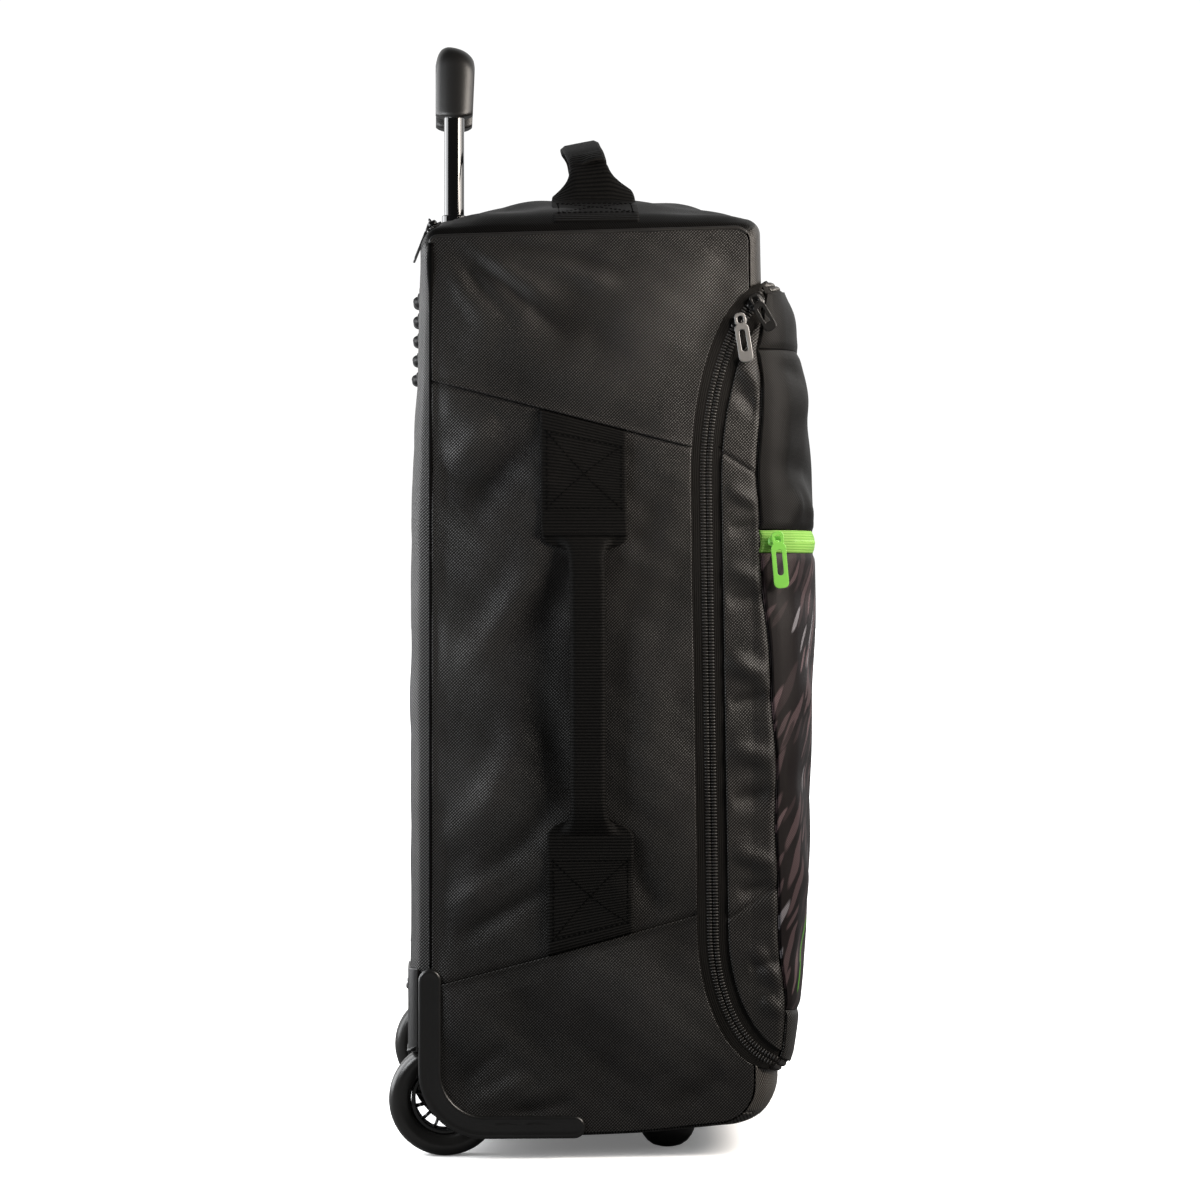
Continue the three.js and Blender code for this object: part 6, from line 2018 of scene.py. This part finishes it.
# A little under an even share, so that the last spoke isn't lost.
SPOKE_SHARE = 0.999
for name, side in SIDES.items():
    x = side * WHEEL_X
    tyre = turned_ring(f"tyre_{name}", x, rounded_profile(TYRE, TYRE_ROUND), tyre_rubber)
    hand_over(tyre, f"wheel_{name}", "tyre", f"wheel_tyre_{name}")
    rings = [turned_ring(part, x, rounded_profile(profile, HUB_ROUND), satin_plastic) for part, profile in (
        ("rim", HUB_RIM), ("disc", HUB_DISC), ("boss", HUB_BOSS))]
    turn = np.linspace(0, 2 * math.pi, 96, endpoint=False)
    circle = place(x, SPOKES["radius"] * np.cos(turn), AXLE_Z + SPOKES["radius"] * np.sin(turn))
    pitch = 2 * math.pi * SPOKES["radius"] / SPOKES["count"]
    spokes = lay_along(
        "spokes", [(circle, (1, 0, 0))], rods, satin_plastic, closed=True, turn=ACROSS,
        pitch=pitch * SPOKE_SHARE, **SPOKE)
    hub = join_pieces(f"hub_{name}", rings + [spokes])
    hand_over(hub, f"wheel_{name}", "black_plastic", f"wheel_hub_{name}")
    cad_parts[f"axle_{name}"].data.materials.clear()
    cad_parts[f"axle_{name}"].data.materials.append(grey_metal)
print("wheels turned")

# %% Feet and screws
FOOT = {"x": 117, "forward": 159}
FOOT_PROFILE = [
    (0.01, 0), (6, 0.2), (10.5, 1.5), (14.5, 4.3), (17.5, 8.2), (19.5, 12.6), (20.4, 17), (20.5, 22.5),
    (0.01, 22.5)]
SCREW = {"x": 158, "forward": -26.7, "z": 122}
SCREW_PROFILE = [
    (0.01, 0.2), (1.1, 0.2), (1.25, 1.0), (2.2, 1.15), (3.2, 0.8), (3.7, 0.1), (3.7, -0.4), (0.01, -0.4)]
UPRIGHT_STEPS = 40


def turned_upright(name, x, forward, profile, finish, outward=False):
    """A profile of (radius, height) turned about an upright line, or about a line out of the back."""
    angle = np.linspace(0, 2 * math.pi, UPRIGHT_STEPS, endpoint=False)[:, None]
    radius, rise = np.asarray(profile, float).T
    u, v = radius[None] * np.cos(angle), radius[None] * np.sin(angle)
    if outward:
        points = place(x + u, forward - rise[None], SCREW["z"] + v)
    else:
        points = place(x + u, forward + v, rise[None])
    faces = grid_faces(UPRIGHT_STEPS, len(profile), round_rows=True)
    return face_outwards(new_piece(name, points.reshape(-1, 3), faces, finish))


for name, side in SIDES.items():
    foot = turned_upright(f"foot_pad_{name}", side * FOOT["x"], FOOT["forward"], FOOT_PROFILE, black_rubber)
    hand_over(foot, "bag", "black_rubber", f"foot_{name}")
    screw = turned_upright(
        f"screw_head_{name}", side * SCREW["x"], SCREW["forward"], SCREW_PROFILE, grey_metal, outward=True)
    hand_over(screw, "bag", "grey_metal", f"guard_screw_{name}")
print("feet and screws placed")

# %% [markdown]
# ## Back bumper
# A rubber plate with ribs keeps the back off kerbs and stairs. The plate follows the
# back. Its short bold ribs and the low ones across its width are rods from the repeat
# tree, set out up the plate.

# %% Back bumper
BUMPER = {"half": 70, "low": 548, "high": 620, "ribs": 5, "rib_length": 40, "corner": 8}
# Scale of each step of the plate and its distance from the back.
PLATE_STEPS = ((1, 0.2), (1, 1.6), (0.985, 2.4), (0.96, 2.6))


def back_face(z):
    s = body_section(np.array(0.0))
    high = TOP_BACK_Z + s["back_lift"] - s["top_back"]
    low = s["bottom"] + CORNER["bottom_back"]
    return back_edge(s, (high - z) / (high - low))[0]


plate = round_box(BUMPER["half"] * 2, BUMPER["high"] - BUMPER["low"], BUMPER["corner"])
plate_middle = (BUMPER["high"] + BUMPER["low"]) / 2
rings = []
for scale, out in PLATE_STEPS:
    z = plate[:, 1] * scale + plate_middle
    rings.append(place(plate[:, 0] * scale, back_face(z) - out, z))
plate_piece = solid_stack("plate", rings, black_rubber)
pitch = (BUMPER["high"] - BUMPER["low"]) / BUMPER["ribs"]
rib_z = np.linspace(BUMPER["low"] + pitch / 2, BUMPER["high"] - pitch / 2 + 0.2, 30)
# Distance of each kind of rib from the back, then its length, width and height.
RIB_KINDS = {
    "ribs": (3.0, BUMPER["rib_length"], 7.2, 9), "low_ribs": (2.2, BUMPER["half"] * 2 - 12, 5.2, 3.2),
}
bumper_pieces = [plate_piece]
for name, (out, length, width, height) in RIB_KINDS.items():
    line = place(0 * rib_z, back_face(rib_z) - out, rib_z)
    bumper_pieces.append(lay_along(
        name, [(line, (0, 1, 0))], rods, black_rubber, turn=ACROSS,
        pitch=pitch, length=length, width=width, height=height))
bumper = join_pieces("back_bumper_ribs", bumper_pieces)
hand_over(bumper, "bag", "black_rubber", "back_bumper")

# %% [markdown]
# ## Pull handle
# Two gloss tubes slide in fixed sleeves and carry a moulded grip with two legs. The
# grip is a stack of U-shaped outlines from back to front, each with its own height,
# so that the crest lies near the back and the top falls away to the front. Outlines
# near both ends are drawn in, which makes the legs round.

# %% Tubes and sleeves
TUBE_SIDES = 40
# How far an end of a tube is drawn in, and the distances from the end where it is full again.
TUBE_ROUND = 0.4
TUBE_STEPS = (0.4, 1.6)
for name in SIDES:
    for part, inner_share in (("tube", 0.84), ("sleeve", 0.86)):
        low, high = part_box(f"handle_{part}_{name}")
        middle = (low + high) / 2
        radius = (high.y - low.y) / 2 / MM
        hollow = radius * inner_share
        angle = np.linspace(0, 2 * math.pi, TUBE_SIDES, endpoint=False)
        ring = np.stack([np.cos(angle), np.sin(angle), 0 * angle], axis=1) * MM
        levels = [(radius - TUBE_ROUND, low.z)]
        levels += [(radius, low.z + step * MM) for step in TUBE_STEPS]
        levels += [(radius, high.z - step * MM) for step in TUBE_STEPS[::-1]]
        levels += [(radius - TUBE_ROUND, high.z), (hollow, high.z), (hollow, low.z)]
        points = np.concatenate([ring * r + np.array([middle.x, middle.y, z]) for r, z in levels])
        faces = grid_faces(len(levels), TUBE_SIDES, round_columns=True, round_rows=True)
        tube = face_outwards(new_piece(f"handle_{part}_gloss_{name}", points, faces, gloss_tube))
        hand_over(tube, "pull_handle" if part == "tube" else "bag", "gloss_tube", f"handle_{part}_{name}")
print("tubes and sleeves turned")

# %% Grip
GRIP = {"half": 48, "gap": 23, "gap_top": 772, "bottom": 746.6, "gap_round": 9, "corner": 12}
# Forward station against top height, read off the photograph's silhouette.
GRIP_TOP = np.array([
    [-7.4, 786], [-6.2, 791.4], [-4.8, 795], [-1.9, 798.2], [2.1, 799.4], [5.8, 799], [11.3, 797.6],
    [15.8, 795.4], [19.1, 792.6], [20.9, 790], [21.8, 787], [22.3, 783],
])
GRIP_ROUND = {"middle": 7.45, "reach": 15, "draw": 9.5, "kept_reach": 0.98}
# The front of the grip leans back towards its foot, over a height below its shoulder.
GRIP_LEAN = {"shift": 2, "shoulder": 792, "height": 45}


def grip_draw(forward):
    """How far the legs draw in at a station, so that they are round in plan."""
    share = abs(forward - GRIP_ROUND["middle"]) / GRIP_ROUND["reach"]
    return GRIP_ROUND["draw"] * (1 - math.sqrt(1 - share ** 2))


def grip_outline(top, draw):
    """A U on legs in (x, z): up the outside, over the top, and round the finger gap."""
    outer, low = GRIP["half"] - draw, GRIP["bottom"] + draw * 0.4
    corner, gap, hole = GRIP["corner"], GRIP["gap"] + draw * 0.4, GRIP["gap_top"] + draw * 0.4
    round_gap = GRIP["gap_round"]
    outside = np.concatenate([
        straight((outer, low + 1), (outer, top - corner - 1), 8),
        arc_line(outer - corner, top - corner, corner, 0, 90, 9)])
    inside = np.concatenate([
        arc_line(gap - round_gap, hole - round_gap, round_gap, 90, 0, 9),
        straight((gap, hole - round_gap - 1), (gap, low + 3), 8),
        arc_line(gap + 1, low + 1, 1, 180, 270, 3),
        straight((gap + 3, low), (outer - 3, low), 8),
        arc_line(outer - 1, low + 1, 1, 270, 360, 3)])
    over = straight((outer - corner - 2, top), (-outer + corner + 2, top), 12)
    under = straight((-gap + round_gap + 1, hole), (gap - round_gap - 1, hole), 8)
    other_side = [-1, 1]
    return np.concatenate(
        [outside, over, outside[::-1] * other_side, inside[::-1] * other_side, under, inside])


rings = []
grip_turn = np.linspace(-1, 1, 25)
for turn in np.sin(grip_turn * math.pi / 2):
    forward = GRIP_ROUND["middle"] + GRIP_ROUND["kept_reach"] * GRIP_ROUND["reach"] * turn
    loop = grip_outline(float(glide(GRIP_TOP[:, 0], GRIP_TOP[:, 1], forward)), grip_draw(forward))
    loop = resample(np.concatenate([loop, loop[:1]]), 161)[:-1]
    fall = np.clip((GRIP_LEAN["shoulder"] - loop[:, 1]) / GRIP_LEAN["height"], 0, 1)
    rings.append(place(loop[:, 0], forward - GRIP_LEAN["shift"] * max(turn, 0) * fall, loop[:, 1]))
grip = solid_stack("grip_shell", rings, grip_plastic)
hand_over(grip, "pull_handle", "black_plastic", "handle_grip")
print("grip moulded")
